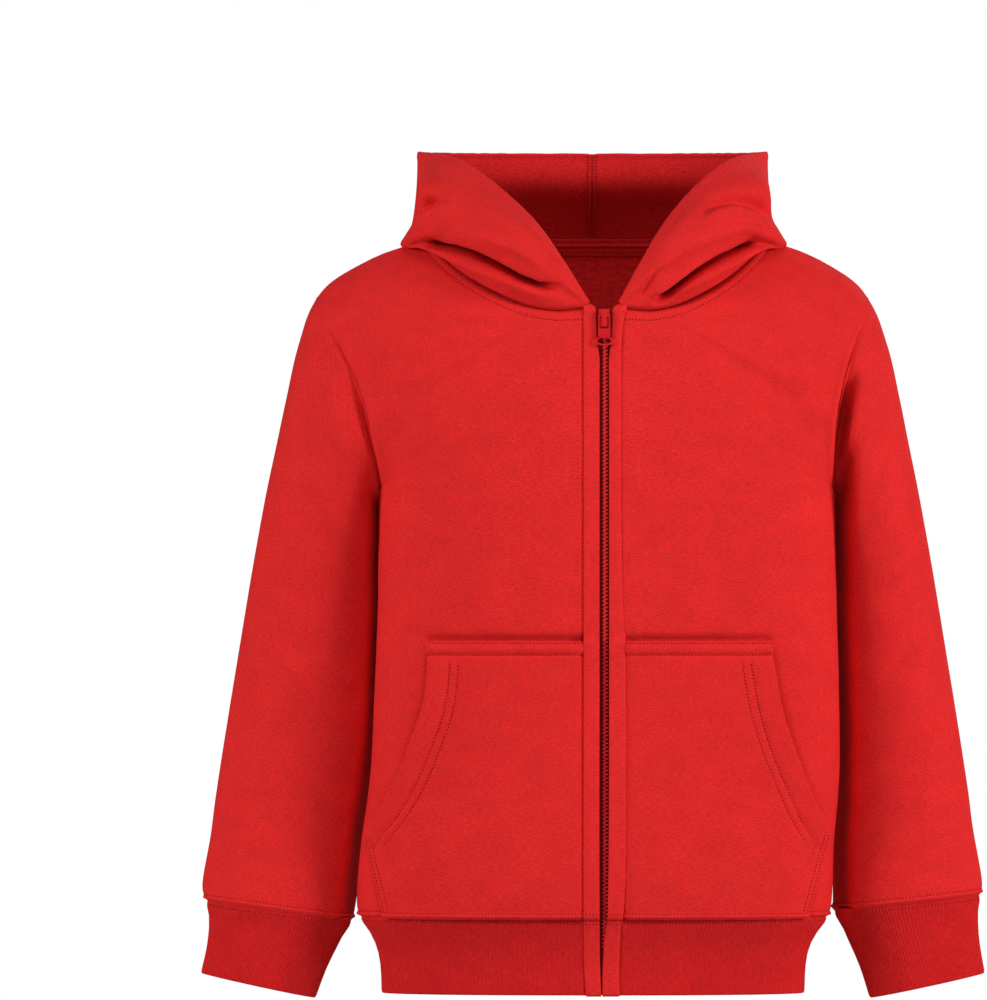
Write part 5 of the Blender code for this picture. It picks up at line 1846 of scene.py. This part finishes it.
class HOODIE_OT_stage(bpy.types.Operator):
    """Sets the pale floor, the soft light and the camera"""

    bl_idname = "hoodie.stage"
    bl_label = "Stage"

    def execute(self, context):
        disc = bmesh.new()
        bmesh.ops.create_circle(disc, cap_ends=True, segments=96, radius=FLOOR_RADIUS)
        for vert in disc.verts:
            vert.co.z = context.scene.hoodie_sizes.floor_height
        mesh = bpy.data.meshes.new("floor")
        disc.to_mesh(mesh)
        disc.free()
        nodes = Nodes("pale_floor")
        tone = nodes.noise(nodes.solid(), 6.0, 2.0, 0.5)
        nodes.shade(FLOOR_GREY, (tone, 0.3, 0.7, 0.99, 1.01))
        mesh.materials.append(nodes.finish(None, 0.8))
        floor = placed("floor", mesh)
        for name, place, size, power in LIGHTS:
            light = bpy.data.lights.new(name, "AREA")
            light.shape = "DISK"
            light.size = size
            light.energy = power
            lamp = placed(name, light)
            lamp.location = place
            lamp.rotation_euler = (Vector(LIT_AT) - Vector(place)).to_track_quat("-Z", "Y").to_euler()
        world = bpy.data.worlds.new("studio")
        world.use_nodes = True
        tree = world.node_tree
        sky = tree.nodes["Background"]
        sky.inputs["Color"].default_value = WHITE
        sky.inputs["Strength"].default_value = SKY_LIGHT
        white = tree.nodes.new("ShaderNodeBackground")
        white.inputs["Color"].default_value = WHITE
        path = tree.nodes.new("ShaderNodeLightPath")
        mix = tree.nodes.new("ShaderNodeMixShader")
        tree.links.new(path.outputs["Is Camera Ray"], mix.inputs[0])
        tree.links.new(sky.outputs["Background"], mix.inputs[1])
        tree.links.new(white.outputs["Background"], mix.inputs[2])
        tree.links.new(mix.outputs["Shader"], tree.nodes["World Output"].inputs["Surface"])
        context.scene.world = world
        context.scene.view_settings.view_transform = "Standard"
        eye = bpy.data.cameras.new("camera")
        eye.sensor_width = SENSOR
        eye.lens = SENSOR * CAMERA_FAR / IMAGE_TALL
        eye.clip_start = 0.1
        eye.clip_end = 60.0
        camera = placed("camera", eye)
        camera.location = (CAMERA_X, -CAMERA_FAR, CAMERA_Z)
        camera.rotation_euler = (pi / 2, 0, 0)
        context.scene.camera = camera
        return {"FINISHED"}


OPERATORS = (HOODIE_OT_body, HOODIE_OT_sleeves, HOODIE_OT_waistband, HOODIE_OT_hood, HOODIE_OT_pockets,
             HOODIE_OT_bands, HOODIE_OT_zip, HOODIE_OT_stitching, HOODIE_OT_stage)


class HOODIE_PT_panel(bpy.types.Panel):
    """Lists the hoodie's pieces and its stage"""

    bl_label = "Hoodie"
    bl_idname = "HOODIE_PT_panel"
    bl_space_type = "VIEW_3D"
    bl_region_type = "UI"
    bl_category = "Hoodie"

    def draw(self, context):
        for made in OPERATORS:
            self.layout.operator(made.bl_idname)


CLASSES = (HoodieSizes, HoodieColours, *OPERATORS, HOODIE_PT_panel)


def register():
    for made in CLASSES:
        bpy.utils.register_class(made)
    bpy.types.Scene.hoodie_sizes = bpy.props.PointerProperty(type=HoodieSizes)
    bpy.types.Scene.hoodie_colours = bpy.props.PointerProperty(type=HoodieColours)


def unregister():
    del bpy.types.Scene.hoodie_colours
    del bpy.types.Scene.hoodie_sizes
    for made in reversed(CLASSES):
        bpy.utils.unregister_class(made)


def main():
    register()
    bpy.ops.hoodie.body()
    bpy.ops.hoodie.sleeves()
    bpy.ops.hoodie.waistband()
    bpy.ops.hoodie.hood()
    bpy.ops.hoodie.pockets()
    bpy.ops.hoodie.bands()
    bpy.ops.hoodie.zip()
    bpy.ops.hoodie.stitching()
    bpy.ops.hoodie.stage()
    bpy.context.view_layer.update()


if __name__ == "__main__":
    main()
